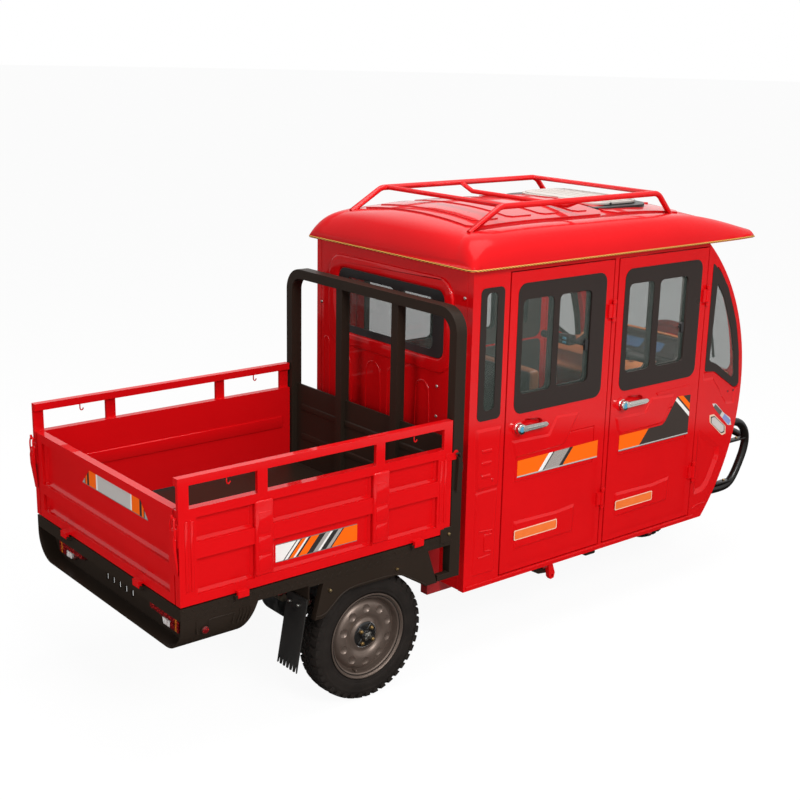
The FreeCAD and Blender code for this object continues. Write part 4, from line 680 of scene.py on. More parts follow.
def ball(centre, radius, segments, rings):
    bpy.ops.object.select_all(action="DESELECT")
    bpy.ops.mesh.primitive_uv_sphere_add(segments=segments, ring_count=rings, radius=radius,
                                         location=centre)
    bpy.ops.object.transform_apply(location=True, rotation=True, scale=True)
    return bpy.context.object


# Radius and place of the rim's section, from its outer lip round the well and back
face_profile = [
    (0.1675, -0.046), (0.1665, -0.0475), (0.163, -0.0475), (0.1605, -0.045), (0.1585, -0.040),
    (0.1525, -0.0385), (0.149, -0.036), (0.1475, -0.030), (0.146, -0.016), (0.142, -0.010),
    (0.137, -0.011), (0.131, -0.020), (0.126, -0.0265), (0.116, -0.031), (0.104, -0.033),
    (0.092, -0.033), (0.082, -0.031), (0.076, -0.027), (0.071, -0.0215), (0.064, -0.0205),
    (0.058, -0.0235), (0.054, -0.028), (0.051, -0.0285), (0.051, -0.0255), (0.053, -0.024),
    (0.057, -0.019), (0.064, -0.016), (0.071, -0.0165), (0.078, -0.018), (0.086, -0.019),
    (0.104, -0.020), (0.118, -0.019), (0.128, -0.013), (0.136, -0.006), (0.1425, -0.0045),
    (0.1425, 0.010), (0.130, 0.0135), (0.129, 0.014), (0.129, 0.017), (0.134, 0.018),
    (0.147, 0.022), (0.1475, 0.040), (0.158, 0.042), (0.163, 0.046), (0.1675, 0.046),
    (0.1675, 0.043), (0.161, 0.041), (0.1525, 0.037), (0.152, 0.024), (0.137, 0.016),
    (0.135, -0.008), (0.150, -0.012), (0.152, -0.030), (0.154, -0.036), (0.163, -0.041),
]
rim = spun(face_profile, 112, "y")
dimple = ball((0, -0.0505, 0.1085), 0.0255, 20, 14)
carve(rim, ring(dimple, 10))
valve = rod((0, -0.036, 0.1405), (0, -0.010, 0.1445), 0.004, 14, 0.001)
rim = join([rim, turn(valve, 198, "Y", (0, 0, 0))])

hub = spun([(0.0505, -0.026), (0.0505, -0.0225), (0.030, -0.0195), (0.012, -0.0195),
            (0.012, -0.030), (0.024, -0.031), (0.038, -0.0305), (0.047, -0.0285)], 48, "y")
arm = block((-0.0125, -0.036, 0.008), (0.0125, -0.026, 0.046), 0.005)
hub = join([hub, ring(arm, 4)])
boot = spun([(0.004, -0.0315), (0.0235, -0.0315), (0.0235, -0.038), (0.020, -0.0425),
             (0.004, -0.0435)], 28, "y")
hub = turn(join([hub, boot]), 38, "Y", (0, 0, 0))
nut = rod((0, -0.0445, 0.034), (0, -0.035, 0.034), 0.0082, 6, 0.0012)
stud = rod((0, -0.0495, 0.034), (0, -0.0440, 0.034), 0.0042, 14, 0.0012)
nuts = turn(ring(join([nut, stud]), 4), 38, "Y", (0, 0, 0))
lobe = rod((0, -0.0495, 0.0105), (0, -0.0425, 0.0105), 0.0078, 20, 0.002)
cap = ring(lobe, 4)
cap = join([cap, rod((0, -0.0497, 0), (0, -0.0425, 0), 0.0115, 28, 0.002),
            rod((0, -0.0508, 0), (0, -0.049, 0), 0.0052, 20, 0.0006)])
cap = turn(cap, 38, "Y", (0, 0, 0))

taupe = mottled("rim spray", 0.38, (0.18, 0.135, 0.11), (0.11, 0.08, 0.064), 26.0,
                grain=(500.0, 0.0002, 0.3, 1.0), gloss=(40.0, 0.2, 0.28), Metallic=0.5)
hub_black = enamel("hub black", (0.012, 0.011, 0.011), (0.008, 0.008, 0.008), 0.35)

# The tyre's section, and a block of its tread: a shoulder lug with a notch beside it
tyre_side = [
    (0.1535, 0.0395), (0.168, 0.0405), (0.171, 0.043), (0.1735, 0.0475), (0.178, 0.0492),
    (0.182, 0.0492), (0.1835, 0.0505), (0.196, 0.0515), (0.206, 0.0512), (0.214, 0.0500),
    (0.2155, 0.0508), (0.2175, 0.0504), (0.228, 0.0484), (0.237, 0.0455), (0.2415, 0.0400),
    (0.2440, 0.0300), (0.2450, 0.0150),
]
section = ([(radius, -place) for radius, place in tyre_side] +
           [(radius, place) for radius, place in tyre_side[::-1]])
carcass = spun(section, 120, "y")
lug = prism([(-0.0130, 0.2405), (0.0130, 0.2405), (0.0118, 0.2495), (-0.0118, 0.2495)], "y",
            -0.0505, -0.0215)
push(lambda point: point.co.y < -0.05 and point.co.z > 0.245, (0, 0.0075, -0.0035))
push(lambda point: point.co.y > -0.022, (0.0065, 0, 0))
foot = prism([(-0.0080, 0.224), (0.0080, 0.224), (0.0118, 0.2425), (-0.0118, 0.2425)], "y",
             -0.0512, -0.044)
shoulder = ring(join([lug, foot]), 40)
other = turn(twin(shoulder), 4.5, "Y", (0, 0, 0))
ribs = []
for place in (-0.0095, 0.0095):
    rib = prism([(-0.0085, 0.2425), (0.0085, 0.2425), (0.0075, 0.2496), (-0.0075, 0.2496)],
                "y", place - 0.0068, place + 0.0068)
    push(lambda point: point.co.y > place, (0.006 if place > 0 else -0.006, 0, 0))
    ribs.append(turn(ring(rib, 40), 4.5 if place > 0 else 0.0, "Y", (0, 0, 0)))
tyre = join([carcass, shoulder, other, *ribs])

rubber = mottled("tyre rubber", 0.75, (0.022, 0.017, 0.014), (0.0085, 0.0065, 0.0055), 22.0, 4.0,
                 (300.0, 0.0005, 0.5, 3.0), (60.0, 0.2, 0.62), Specular_IOR_Level=0.14)

for name, body, centre in (("rear_right", "rear_wheel_right", (axle_x, -axle_y, tyre_radius)),
                           ("rear_left", "rear_wheel_left", (axle_x, axle_y, tyre_radius)),
                           ("front", "front_wheel", (front_x, 0, tyre_radius))):
    for label, part, finish, slot in (
            ("rim", rim, taupe, "rim_paint"), ("tyre", tyre, rubber, "tyre"),
            ("hub", hub, hub_black, "fork_paint"), ("hub_nuts", nuts, brass, "axle_iron"),
            ("hub_cap", cap, zinc, "axle_iron")):
        piece = copied(part)
        if name == "rear_left":
            turn(piece, 180, "Z", (0, 0, 0))
        moved(piece, centre)
        fit(piece, f"{label}_{name}_dressed", body, finish)
        if label in ("rim", "tyre"):
            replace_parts(piece, f"{label}_{name}")
only(rim, tyre, hub, nuts, cap)
bpy.ops.object.delete()


# The tailgate: the same pressed sheet as the boards, with one wide swage from side to side,
# on two hooks over the rear sill. Its film is one long lens of white, grey and orange.
gate = pressed("tailgate", 0, red)
pick("FACE", facing("x", rear + 0.012))
bpy.ops.mesh.inset(thickness=0.010, depth=-0.008, use_individual=True)
close()
fit(gate, "tailgate_pressed", "tailgate", red, 0.004)
gate_bands = [(0.0, grey), (0.045, dark), (0.055, orange), (0.085, dark), (0.115, orange),
              (0.23, white), (0.25, (0.5, 0.48, 0.46)), (0.75, white), (0.77, orange),
              (0.885, dark), (0.915, orange), (0.945, dark), (0.955, grey)]
gate_film = prism([(0.113, 0.884), (-0.254, 0.884), (-0.311, 0.818), (0.179, 0.818)], "x",
                  rear + 0.0192, rear + 0.0200)
fit(gate_film, "tailgate_stripes", "tailgate",
    film("tailgate stripes", "Y", (-0.311, 0.179), gate_bands, 0.818, 0.884, 0.0))
carve(gate, block((rear - 0.03, -0.35, 0.603), (rear - 0.0003, 0.35, 0.66)))


# The head guard: a bent square tube round the load bed's front, with two uprights and a
# ribbed headboard plate, all in black enamel. It is bolted to the sill at each foot.
def round_corners(piece, axis, bend, segments=4):
    index = "xyz".index(axis)
    pick("EDGE", lambda edge: abs((edge.verts[0].co - edge.verts[1].co)[index]) > 1e-6)
    bpy.ops.mesh.bevel(offset=bend, segments=segments, affect="EDGES")
    close()
    return piece


def rounded(corners, axis, low, high, bend, segments=4):
    """A plate with its corners rounded."""
    return round_corners(prism(corners, axis, low, high), axis, bend, segments)


def boss(corners, axis, face, rise, slope, bend=0.006):
    """A raised pressing with sloping sides on a flat sheet."""
    piece = prism(corners, axis, face - math.copysign(0.001, rise), face)
    pick("FACE", facing(axis, face, 1e-5))
    bpy.ops.mesh.inset(thickness=slope, depth=abs(rise))
    close()
    return round_corners(piece, axis, bend)


guard_x = rear + 1.165
pressed("head_guard", 0.0035, black)
ribs = []
for z in (0.70, 0.83):
    ribs.append(boss(square(-0.47, 0.47, z, z + 0.03), "x", guard_x + 0.025, -0.004, 0.006))
plates, bolts = [], []
for sign in (-1, 1):
    y = sign * side
    plates.append(block((guard_x - 0.052, y - sign * 0.001, 0.556),
                        (guard_x - 0.030, y + sign * 0.004, 0.612), 0.002))
    plates.append(block((guard_x - 0.034, y - sign * 0.001, 0.552),
                        (guard_x + 0.006, y + sign * 0.003, 0.616), 0.002))
    bolts.append(cross_rod(guard_x - 0.012, 0.588, y, y + sign * 0.009, 0.007, 6, 0.0012))
fit(join(ribs + plates), "guard_fittings", "chassis", black, 0.0012)
fit(join(bolts), "guard_bolts", "chassis", brass)
buckles = []
for sign in (-1, 1):
    y = sign * side
    x = guard_x + 0.016
    loop = wire("loop", [(x + ahead, y + sign * out, z) for ahead, out, z in (
        (-0.004, 0.004, 0.900), (0.006, 0.008, 0.908), (0.013, 0.009, 0.890),
        (0.018, 0.012, 0.865), (0.014, 0.014, 0.840), (0.010, 0.012, 0.825))], 0.0045)
    lever = rounded([(x + ahead, z) for ahead, z in (
        (-0.003, 0.895), (0.008, 0.888), (0.022, 0.868), (0.023, 0.842), (0.016, 0.812),
        (0.006, 0.755), (-0.005, 0.757), (-0.002, 0.820), (0.001, 0.868))], "y",
                    y - sign * 0.001, y + sign * 0.016, 0.003, 2)
    buckles += [loop, lever, cross_rod(x + 0.004, 0.842, y, y + sign * 0.014, 0.0045, 14, 0.001)]
fit(join(buckles), "guard_buckles", "chassis", black, 0.001)


# The rear apron: one black pressing with a flat face, a rolled lip and a skirt round each
# corner, each skirt with a raised panel and four ribs that follow its slanting front edge.
pressed("rear_apron", 0.0015, black)
skirts = []
for sign in (-1, 1):
    y = sign * (side + 0.0005)
    for radius, path in (
            (0.0028, [(0.120, 0.524), (0.206, 0.524), (0.206, 0.522), (0.196, 0.486)]),
            (0.0028, [(0.058, 0.530), (0.058, 0.505), (0.060, 0.482)]),
            (0.0022, [(0.120, 0.524), (0.106, 0.523), (0.104, 0.519), (0.104, 0.484)])):
        skirts.append(bent("panel", y, path, radius))
    for step in range(4):
        x = 0.224 + step * 0.014
        skirts.append(bent("rib", y, [(x, 0.531), (x + 0.004, 0.524), (x + 0.001, 0.505),
                                      (x - 0.009, 0.484)], 0.0026))
fit(join(skirts), "skirt_ribs", "chassis", black)


# The tail lamps: moulded red lenses with a clear window and an amber strip, set on the
# apron, and a round red reflector in a bright ring on each skirt.
def celled(name, colour, roughness, scale, middle, edge, **constants):
    """A lens moulded in small cells, lit at their middles."""
    finish = Finish(name, colour, roughness, **constants)
    cells = finish.add("ShaderNodeTexVoronoi", {}, {"Vector": finish.place(), "Scale": scale})
    finish.set(Base_Color=finish.ramp(cells, middle, edge))
    finish.bump(cells, 0.001, 0.6)
    return finish


def fluted(name, colour, roughness, scale, long, dim, bright, depth, **constants):
    """Clear glass with upright flutes; the light that they catch is painted in as dim and bright
    streaks.
    """
    finish = Finish(name, colour, roughness, **constants)
    flutes = finish.noise(scale, 1.0, (1, 1, long))
    finish.set(Base_Color=finish.ramp(flutes, (0.35, dim), (0.6, bright)))
    finish.bump(flutes, depth)
    return finish


red_lens = celled("red lens", (0.32, 0.006, 0.008), 0.2, 130.0, (0.1, (0.75, 0.03, 0.025)),
                  (0.4, (0.13, 0.002, 0.004)), Specular_IOR_Level=0.2)
amber_lens = celled("amber lens", (0.8, 0.2, 0.01), 0.12, 150.0, (0.1, (0.9, 0.32, 0.03)),
                    (0.6, (0.4, 0.07, 0.005)), Coat_Weight=0.6)
clear_lens = fluted("clear lens", (0.75, 0.72, 0.7), 0.12, 240.0, 0.2, (0.5, 0.4, 0.38),
                    (0.9, 0.88, 0.86), 0.0008, Coat_Weight=0.6)
lamp_back = rear + 0.062
housings, ambers, clears, reds = [], [], [], []
for sign in (-1, 1):
    shape = [(0.257, 0.510), (0.459, 0.510), (0.459, 0.450), (0.350, 0.450), (0.322, 0.470),
             (0.257, 0.478)]
    housings.append(rounded([(sign * y, z) for y, z in shape], "x", lamp_back - 0.012,
                            lamp_back + 0.0005, 0.004))
    for group, corners in (
            (reds, [(0.261, 0.506), (0.428, 0.506), (0.428, 0.480), (0.261, 0.482)]),
            (clears, [(0.345, 0.477), (0.395, 0.477), (0.395, 0.454), (0.353, 0.454)]),
            (reds, square(0.398, 0.428, 0.477, 0.454)),
            (ambers, square(0.431, 0.442, 0.506, 0.454)),
            (reds, square(0.444, 0.456, 0.506, 0.454))):
        group.append(rounded([(sign * y, z) for y, z in corners], "x", lamp_back - 0.0195,
                             lamp_back - 0.011, 0.0025, 3))
    y = sign * 0.549
    reds.append(spun([(0.001, y), (0.0105, y), (0.0105, y + sign * 0.0065),
                      (0.007, y + sign * 0.0085), (0.001, y + sign * 0.0092)], 28, "y"))
    moved(reds[-1], (rear + 0.090, 0, 0.492))
    bright = spun([(0.0100, y - sign * 0.001), (0.0132, y - sign * 0.001),
                   (0.0132, y + sign * 0.005), (0.0100, y + sign * 0.006)], 28, "y")
    housings.append(moved(bright, (rear + 0.090, 0, 0.492)))
lamps = fit(join(reds), "tail_lamp_lenses", "chassis", red_lens, 0.0012)
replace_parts(lamps, "tail_lamps")
fit(join(ambers), "tail_lamp_amber", "chassis", amber_lens, 0.0012)
fit(join(clears), "tail_lamp_windows", "chassis", clear_lens, 0.0012)
fit(join(housings), "tail_lamp_cases", "chassis",
    enamel("lamp case", (0.10, 0.008, 0.008), (0.06, 0.006, 0.006), 0.3), 0.001)


# The wheel guards: folded black plate bolted below the sill with yellow bolts, their lower
# edge rolled over along the arch; each has a rubber mud flap cut into teeth at its foot.
pressed("wheel_guards", 0.002, black)
lips, bolts, studs = [], [], []
for sign in (-1, 1):
    y = sign * (side - 0.001)
    path = [(0.540, 0.412), (0.576, 0.408), (0.610, 0.436), (0.672, 0.487), (0.790, 0.489),
            (0.918, 0.487), (0.985, 0.446), (1.046, 0.408)]
    lips.append(bent("lip", y, path, 0.0035))
    for x, z in ((0.905, 0.506), (0.600, 0.500)):
        bolts.append(cross_rod(rear + x, z, y, y + sign * 0.0085, 0.0062, 6, 0.001))
    for bolt_y in (sign * 0.452, sign * 0.505):
        studs.append(rod((rear + 0.5015, bolt_y, 0.452), (rear + 0.489, bolt_y, 0.454), 0.006, 14,
                         0.002))
fit(join(lips), "guard_lips", "chassis", black)
fit(join(bolts), "guard_plate_bolts", "chassis", brass)
flap_rubber = mottled("flap rubber", 0.6, (0.03, 0.027, 0.024), (0.009, 0.008, 0.008), 12.0, 4.0,
                      (500.0, 0.0003, 1.0, 2.0), Specular_IOR_Level=0.25)
flaps = pressed("mud_flaps", 0, flap_rubber)
for sign in (-1, 1):
    teeth = []
    for step in range(6):
        y = 0.4335 + step * 0.0205
        teeth.append(prism([(sign * (y - 0.009), 0.19), (sign * (y + 0.009), 0.19),
                            (sign * (y + 0.001), 0.247), (sign * (y - 0.001), 0.247)], "x",
                           rear + 0.43, rear + 0.53))
    carve(flaps, join(teeth))
fit(flaps, "mud_flaps_pressed", "chassis", flap_rubber, 0.0008)
fit(join(studs), "flap_bolts", "chassis", zinc)


# The cab's rear wall: one red pressing with a raised bead round its window, arches pressed
# below for stiffness, and chrome screws down its right edge.
wall_x = rear + 1.288
pressed("cab_rear_wall", 0.004, red, 3)
bead = rounded(square(-0.388, 0.404, 1.146, 1.524), "x", wall_x - 0.0095, wall_x + 0.0005,
               0.085, 8)
carve(bead, rounded(square(-0.340, 0.340, 1.200, 1.473), "x", wall_x - 0.02, wall_x + 0.02,
                    0.042, 6))
pick("EDGE", lambda edge: all(point.co.x < wall_x - 0.009 for point in edge.verts) and
     len(edge.link_faces) == 2 and edge.calc_face_angle(0) > 1)
bpy.ops.mesh.bevel(offset=0.008, segments=4, affect="EDGES")
close()
pressings = [bead]
for middle, half, low, high in ((0.425, 0.020, 0.60, 1.155), (0.300, 0.052, 0.62, 1.115),
                                (0.100, 0.052, 0.62, 1.112), (-0.035, 0.045, 0.62, 1.112),
                                (-0.215, 0.045, 0.62, 1.10)):
    arch = [(middle - half, low), (middle - half, high - half),
            (middle - half * 0.6, high - half * 0.2), (middle, high),
            (middle + half * 0.6, high - half * 0.2), (middle + half, high - half),
            (middle + half, low)]
    pressings.append(wire("arch", [(wall_x + 0.0015, y, z) for y, z in arch], 0.0042, 3, 3))
fit(join(pressings), "rear_wall_pressings", "chassis", red)
screws = [rod((wall_x + 0.001, y, z), (wall_x - 0.004, y, z), 0.0065, 20, 0.002)
          for y, z in ((-0.305, 1.092), (-0.305, 0.971), (-0.309, 0.880), (-0.306, 0.78),
                       (-0.306, 0.68), (0.46, 1.30), (-0.451, 1.463))]
fit(join(screws), "rear_wall_screws", "chassis", zinc)


# The cab's sides: red pressed skins. Behind the doors a stepped panel with four small
# louvres, in front of them a faceted panel that follows the nose.
skin = 0.496


def sheet(sign, corners, rise, slope=0.006, bend=0.006):
    """A pressing raised from the cab's side, or sunk where the rise is negative."""
    return boss(spots(*corners), "y", sign * skin, sign * rise, slope, bend)


def sink(piece, sign, corners, depth, slope, bend=0.006):
    """Presses a flat-bottomed recess with sloping sides into the side's skin."""
    return carve(piece, sheet(sign, corners, -depth, slope, bend))


for hand, sign in hands:
    cab_side = pressed(f"cab_side_{hand}", 0, red)
    sink(cab_side, sign, [(2.692, 0.946), (2.761, 0.943), (2.814, 0.884), (2.835, 0.849),
                          (2.874, 0.811), (2.936, 0.804), (2.938, 0.880), (2.924, 0.900),
                          (2.767, 0.985), (2.692, 0.988)], 0.005, 0.009, 0.004)
    sink(cab_side, sign, [(2.686, 0.724), (2.855, 0.614), (2.850, 0.556), (2.795, 0.445),
                          (2.755, 0.412), (2.686, 0.406)], 0.010, 0.021, 0.012)
    fit(cab_side, f"cab_side_{hand}_pressed", "chassis", red, 0.0018, 20)
    facets = [sheet(sign, [(1.324, 0.953), (1.458, 0.951), (1.455, 0.704), (1.334, 0.702)], 0.006,
                    0.011),
              sheet(sign, [(1.334, 0.696), (1.451, 0.698), (1.448, 0.345), (1.330, 0.347)],
                    0.0035, 0.007),
              bent("line", sign * skin, [(2.688, 0.345), (2.709, 0.3555), (2.740, 0.356),
                                         (2.775, 0.3563)], 0.0026, 3, 3)]
    for x0, x1, z in ((1.355, 1.410, 0.861), (1.355, 1.408, 0.812), (1.357, 1.405, 0.758),
                      (1.409, 1.422, 0.737)):
        facets.append(boss(square(rear + x0, rear + x1, z + 0.008, z - 0.008), "y",
                           sign * (skin + 0.0058), sign * 0.004, 0.004, 0.003))
    step = bent("step", sign * (skin + 0.0035), [
        (1.356, 0.532), (1.424, 0.528), (1.428, 0.526), (1.428, 0.514), (1.424, 0.511),
        (1.392, 0.511), (1.388, 0.507), (1.389, 0.447), (1.393, 0.443), (1.420, 0.442),
        (1.424, 0.438), (1.424, 0.426), (1.420, 0.423), (1.358, 0.421)], 0.0034, 3, 3)
    # A drip ledge runs along the sill, under the doors
    facets += [step, block((rear + 1.300, sign * (skin - 0.002), 0.300),
                           (rear + 2.700, sign * (skin + 0.004), 0.312), 0.003)]
    fit(join(facets), f"cab_side_facets_{hand}", "chassis", red, 0.0012, 20)


# The four doors: red pressed skins with a dish and two stepped lines below the handle, a
# printed film, a small blank sticker, and a chrome pull with a round lock.
chrome = mottled("chrome", 0.14, (0.8, 0.78, 0.74), (0.62, 0.6, 0.56), 50.0,
                 gloss=(90.0, 0.08, 0.1), Metallic=1.0)
lock_blue = mottled("lock blue", 0.3, (0.1, 0.42, 0.58), (0.03, 0.2, 0.32), 300.0)
sticker_orange = mottled("orange sticker", 0.35, (0.9, 0.2, 0.03), (0.8, 0.14, 0.01), 20.0)
sticker_rim = mottled("sticker rim", 0.35, (0.85, 0.6, 0.45), (0.78, 0.5, 0.35), 20.0)
door_plan = {
    "rear": dict(back=1.544, front=1.994, lock=1.546,
                 band=[(1.517, 0.876), (1.722, 0.871), (1.762, 0.939), (1.897, 0.934),
                       (1.820, 0.812), (1.790, 0.806), (1.541, 0.800)],
                 film=[(1.557, 0.715), (2.020, 0.715), (2.020, 0.791), (1.557, 0.786)],
                 sticker=(1.555, 1.799),
                 dish=[(1.527, 0.338), (2.030, 0.340), (2.024, 0.702), (1.531, 0.702)],
                 plinth=[(1.552, 0.530), (1.790, 0.524), (1.906, 0.533), (1.900, 0.409),
                         (1.560, 0.406)]),
    "front": dict(back=2.151, front=2.597, lock=2.150,
                  band=[(2.119, 0.873), (2.305, 0.868), (2.345, 0.925), (2.497, 0.916),
                        (2.441, 0.800), (2.425, 0.794), (2.158, 0.790), (2.136, 0.812)],
                  film=[(2.155, 0.714), (2.611, 0.714), (2.611, 0.896), (2.521, 0.901),
                        (2.450, 0.800), (2.430, 0.786), (2.155, 0.786)],
                  sticker=(2.156, 2.396),
                  dish=[(2.128, 0.342), (2.627, 0.342), (2.624, 0.702), (2.146, 0.702)],
                  plinth=[(2.154, 0.527), (2.400, 0.522), (2.512, 0.534), (2.504, 0.421),
                          (2.166, 0.414)]),
}
film_bands = {
    "rear": [(0.0, orange), (0.24, white), (0.29, dark), (0.31, (0.2, 0.18, 0.17)),
             (0.50, dark), (0.54, orange)],
    "front": [(0.0, orange), (0.27, (0.045, 0.034, 0.029)), (0.70, (0.045, 0.034, 0.029))],
}
for place, plan in door_plan.items():
    for hand, sign in hands:
        body = f"door_{place}_{hand}"
        door = pressed(body, 0, red)
        grip = plan["lock"] + 0.088
        sink(door, sign, [(grip - 0.052, 0.904), (grip + 0.040, 0.904), (grip + 0.055, 0.925),
                          (grip + 0.050, 0.938), (grip + 0.034, 0.948), (grip - 0.044, 0.956),
                          (grip - 0.060, 0.938)], 0.014, 0.004, 0.006)
        sink(door, sign, plan["dish"], 0.0058, 0.007, 0.012)
        fit(door, f"{body}_pressed", body, red, 0.0025)
        face = sign * skin
        # The skin down to the film's foot, the band and the plinth that stand proud, a collar
        filler = boss(square(rear + plan["back"] - 0.002, rear + plan["front"] + 0.002, 0.696,
                             0.859), "y", sign * 0.4890, sign * 0.0067, 0.006, 0.004)
        plinth = boss(spots(*plan["plinth"]), "y", sign * 0.4905, sign * 0.006, 0.011, 0.006)
        collar = spun([(0.001, sign * 0.493), (0.0300, sign * 0.493), (0.0290, sign * 0.4985),
                       (0.0240, sign * 0.5010), (0.001, sign * 0.5015)], 36, "y")
        parts = [filler, sheet(sign, plan["band"], 0.006, 0.009, 0.004), plinth,
                 moved(collar, (rear + plan["lock"], 0, 0.925))]
        if place == "front":
            parts.append(prism(spots((2.375, 0.940), (2.612, 0.944), (2.616, 0.926),
                                     (2.385, 0.927)), "y", sign * (skin - 0.001),
                               sign * (skin + 0.003)))
        fit(join(parts), f"{body}_pressings", body, red, 0.0016, 20)
        outline = spots(*plan["film"])
        xs = [x for x, z in outline]
        stripes = film(f"{place} door stripes {hand}", "X", (min(xs), max(xs)),
                       film_bands[place], 0.714, 0.950, -0.85, 0.0)
        along, height = stripes.place("X"), stripes.place("Z")
        colour = Socket(stripes, stripes.shader.inputs["Base Color"].links[0].from_socket)
        if place == "rear":
            ribs = (height * 260.0 + along * 120.0) % 1.0 > 0.6
            across = (along - (height - 0.714) * 0.85) - rear
            inside = (across > 1.70) * (across < 1.785)
            colour = stripes.blend(ribs * inside, colour, (0.5, 0.46, 0.42))
        else:
            slash = along + (height - 0.9) * 1.15 - rear
            for low, high, tone in ((2.492, 2.515, white), (2.527, 2.560, orange)):
                mask = (slash > low) * (slash < high) * (height > 0.79)
                colour = stripes.blend(mask, colour, tone)
        # A grey line along the film's foot, and a finer dark one below it
        colour = stripes.blend(height < 0.7215, colour, (0.45, 0.43, 0.41))
        stripes.set(Base_Color=stripes.blend(height < 0.7165, colour, (0.08, 0.07, 0.07)))
        plate = prism(outline, "y", face - sign * 0.0006, face + sign * 0.0006)
        fit(plate, f"{body}_stripes", body, stripes)
        x0, x1 = (rear + x for x in plan["sticker"])
        low = sign * 0.4966
        label = rounded(square(x0, x1, 0.448, 0.491), "y", low - sign * 0.0005,
                        low + sign * 0.0006, 0.006)
        fit(label, f"{body}_sticker_rim", body, sticker_rim)
        label = rounded(square(x0 + 0.004, x1 - 0.004, 0.452, 0.487), "y", low,
                        low + sign * 0.0010, 0.005)
        fit(label, f"{body}_sticker", body, sticker_orange)

        # The pull: a flat chrome bar on two feet, a lock barrel at its rear end
        x, z = rear + plan["lock"], 0.925
        bar = rounded([(x + 0.006, z - 0.0115), (x + 0.132, z - 0.0095), (x + 0.147, z),
                       (x + 0.132, z + 0.0125), (x + 0.006, z + 0.0145)], "y",
                      sign * 0.5180, sign * 0.5275, 0.006)
        foot = block((x + 0.116, sign * 0.494, z - 0.007), (x + 0.138, sign * 0.522, z + 0.009),
                     0.003)
        rib = block((x + 0.026, sign * 0.526, z - 0.003), (x + 0.118, sign * 0.5286, z + 0.005),
                    0.001)
        pull = fit(join([bar, foot, rib]), f"{body}_pull", body, chrome, 0.0014)
        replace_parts(pull, f"door_{place}_handle_{hand}")
        barrel = spun([(0.001, sign * 0.498), (0.0230, sign * 0.498), (0.0230, sign * 0.5060),
                       (0.0215, sign * 0.5075), (0.0215, sign * 0.5225),
                       (0.0200, sign * 0.5250), (0.0125, sign * 0.5255), (0.0120, sign * 0.5235),
                       (0.001, sign * 0.5235)], 40, "y")
        fit(moved(barrel, (x, 0, z)), f"{body}_lock", body, chrome)
        key = spun([(0.0005, sign * 0.5235), (0.0118, sign * 0.5235), (0.0115, sign * 0.5255),
                    (0.0005, sign * 0.5262)], 24, "y")
        fit(moved(key, (x, 0, z)), f"{body}_lock_face", body, lock_blue)


# The windows: tinted sliding glass in black borders with rounded corners. In each door the
# rear pane is fixed and flush, the front one slides behind it and has a small latch.
border = enamel("window border", (0.033, 0.024, 0.021), (0.027, 0.02, 0.018), 0.3,
                Specular_IOR_Level=0.12)
glass = mottled("tinted glass", 0.03, (0.09, 0.11, 0.098), (0.07, 0.09, 0.078), 1.5, Alpha=0.3)
trim = mottled("door lining", 0.6, (0.055, 0.046, 0.04), (0.035, 0.03, 0.026), 8.0,
               grain=(500.0, 0.0003, 1.0, 3.0))
knob_black = Finish("black plastic", (0.014, 0.013, 0.013), 0.35)
knob_black.set(Roughness=knob_black.noise(40.0) * 0.15 + 0.3)
# How far from the middle plane a border and a flush pane begin and end, and the borders' top
border_in, border_out = 0.4895, 0.4980
pane_in, pane_out = 0.4925, 0.4955
border_top = 1.5015


def frame_hole(piece, corners, sign, bend):
    """Cuts a rounded hole right through a window's border."""
    return carve(piece, rounded(corners, "y", sign * 0.48, sign * 0.51, bend, 6))


def window_rim(corners, sign, bend):
    """The plate of a window's border, flush with the skin and a little proud of it."""
    return rounded(corners, "y", sign * border_in, sign * border_out, bend, 6)


for place, x0, x1, splits in (("rear", 1.5205, 2.0155, ((1.549, 1.718), (1.750, 1.932))),
                              ("front", 2.1275, 2.6215, ((2.157, 2.313), (2.350, 2.532)))):
    for hand, sign in hands:
        body = f"door_{place}_{hand}"
        casing = window_rim(square(rear + x0, rear + x1, 0.9815, border_top), sign, 0.042)
        panes = []
        for index, (low, high) in enumerate(splits):
            frame_hole(casing, square(rear + low, rear + high, 1.060, 1.437), sign, 0.022)
            depth = pane_out if index == 0 else pane_out - 0.007
            panes.append(block((rear + low - 0.010, sign * (depth - 0.003), 1.050),
                               (rear + high + 0.010, sign * depth, 1.447), 0.0008))
        fit(casing, f"{body}_border", body, border, 0.0012)
        lining = moved(copied(casing), (0, -sign * 0.0262, 0))
        lower = rounded(square(rear + x0 - 0.006, rear + x1 + 0.006, 0.345, 0.972), "y",
                        sign * 0.4630, sign * 0.4665, 0.03)
        fit(join([lining, lower]), f"{body}_lining", body, trim)
        pane = fit(join(panes), f"{body}_glass", body, glass)
        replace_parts(pane, f"door_{place}_window_{hand}")
        x = rear + splits[1][1] - 0.018
        latch = [rounded([(x - 0.009, 1.19), (x + 0.007, 1.19), (x + 0.009, 1.235),
                          (x - 0.011, 1.235)], "y", sign * 0.488, sign * 0.499, 0.006),
                 block((x - 0.020, sign * 0.4885, 1.212), (x - 0.006, sign * 0.4955, 1.222),
                       0.002)]
        fit(join(latch), f"{body}_window_latch", body, knob_black, 0.001)

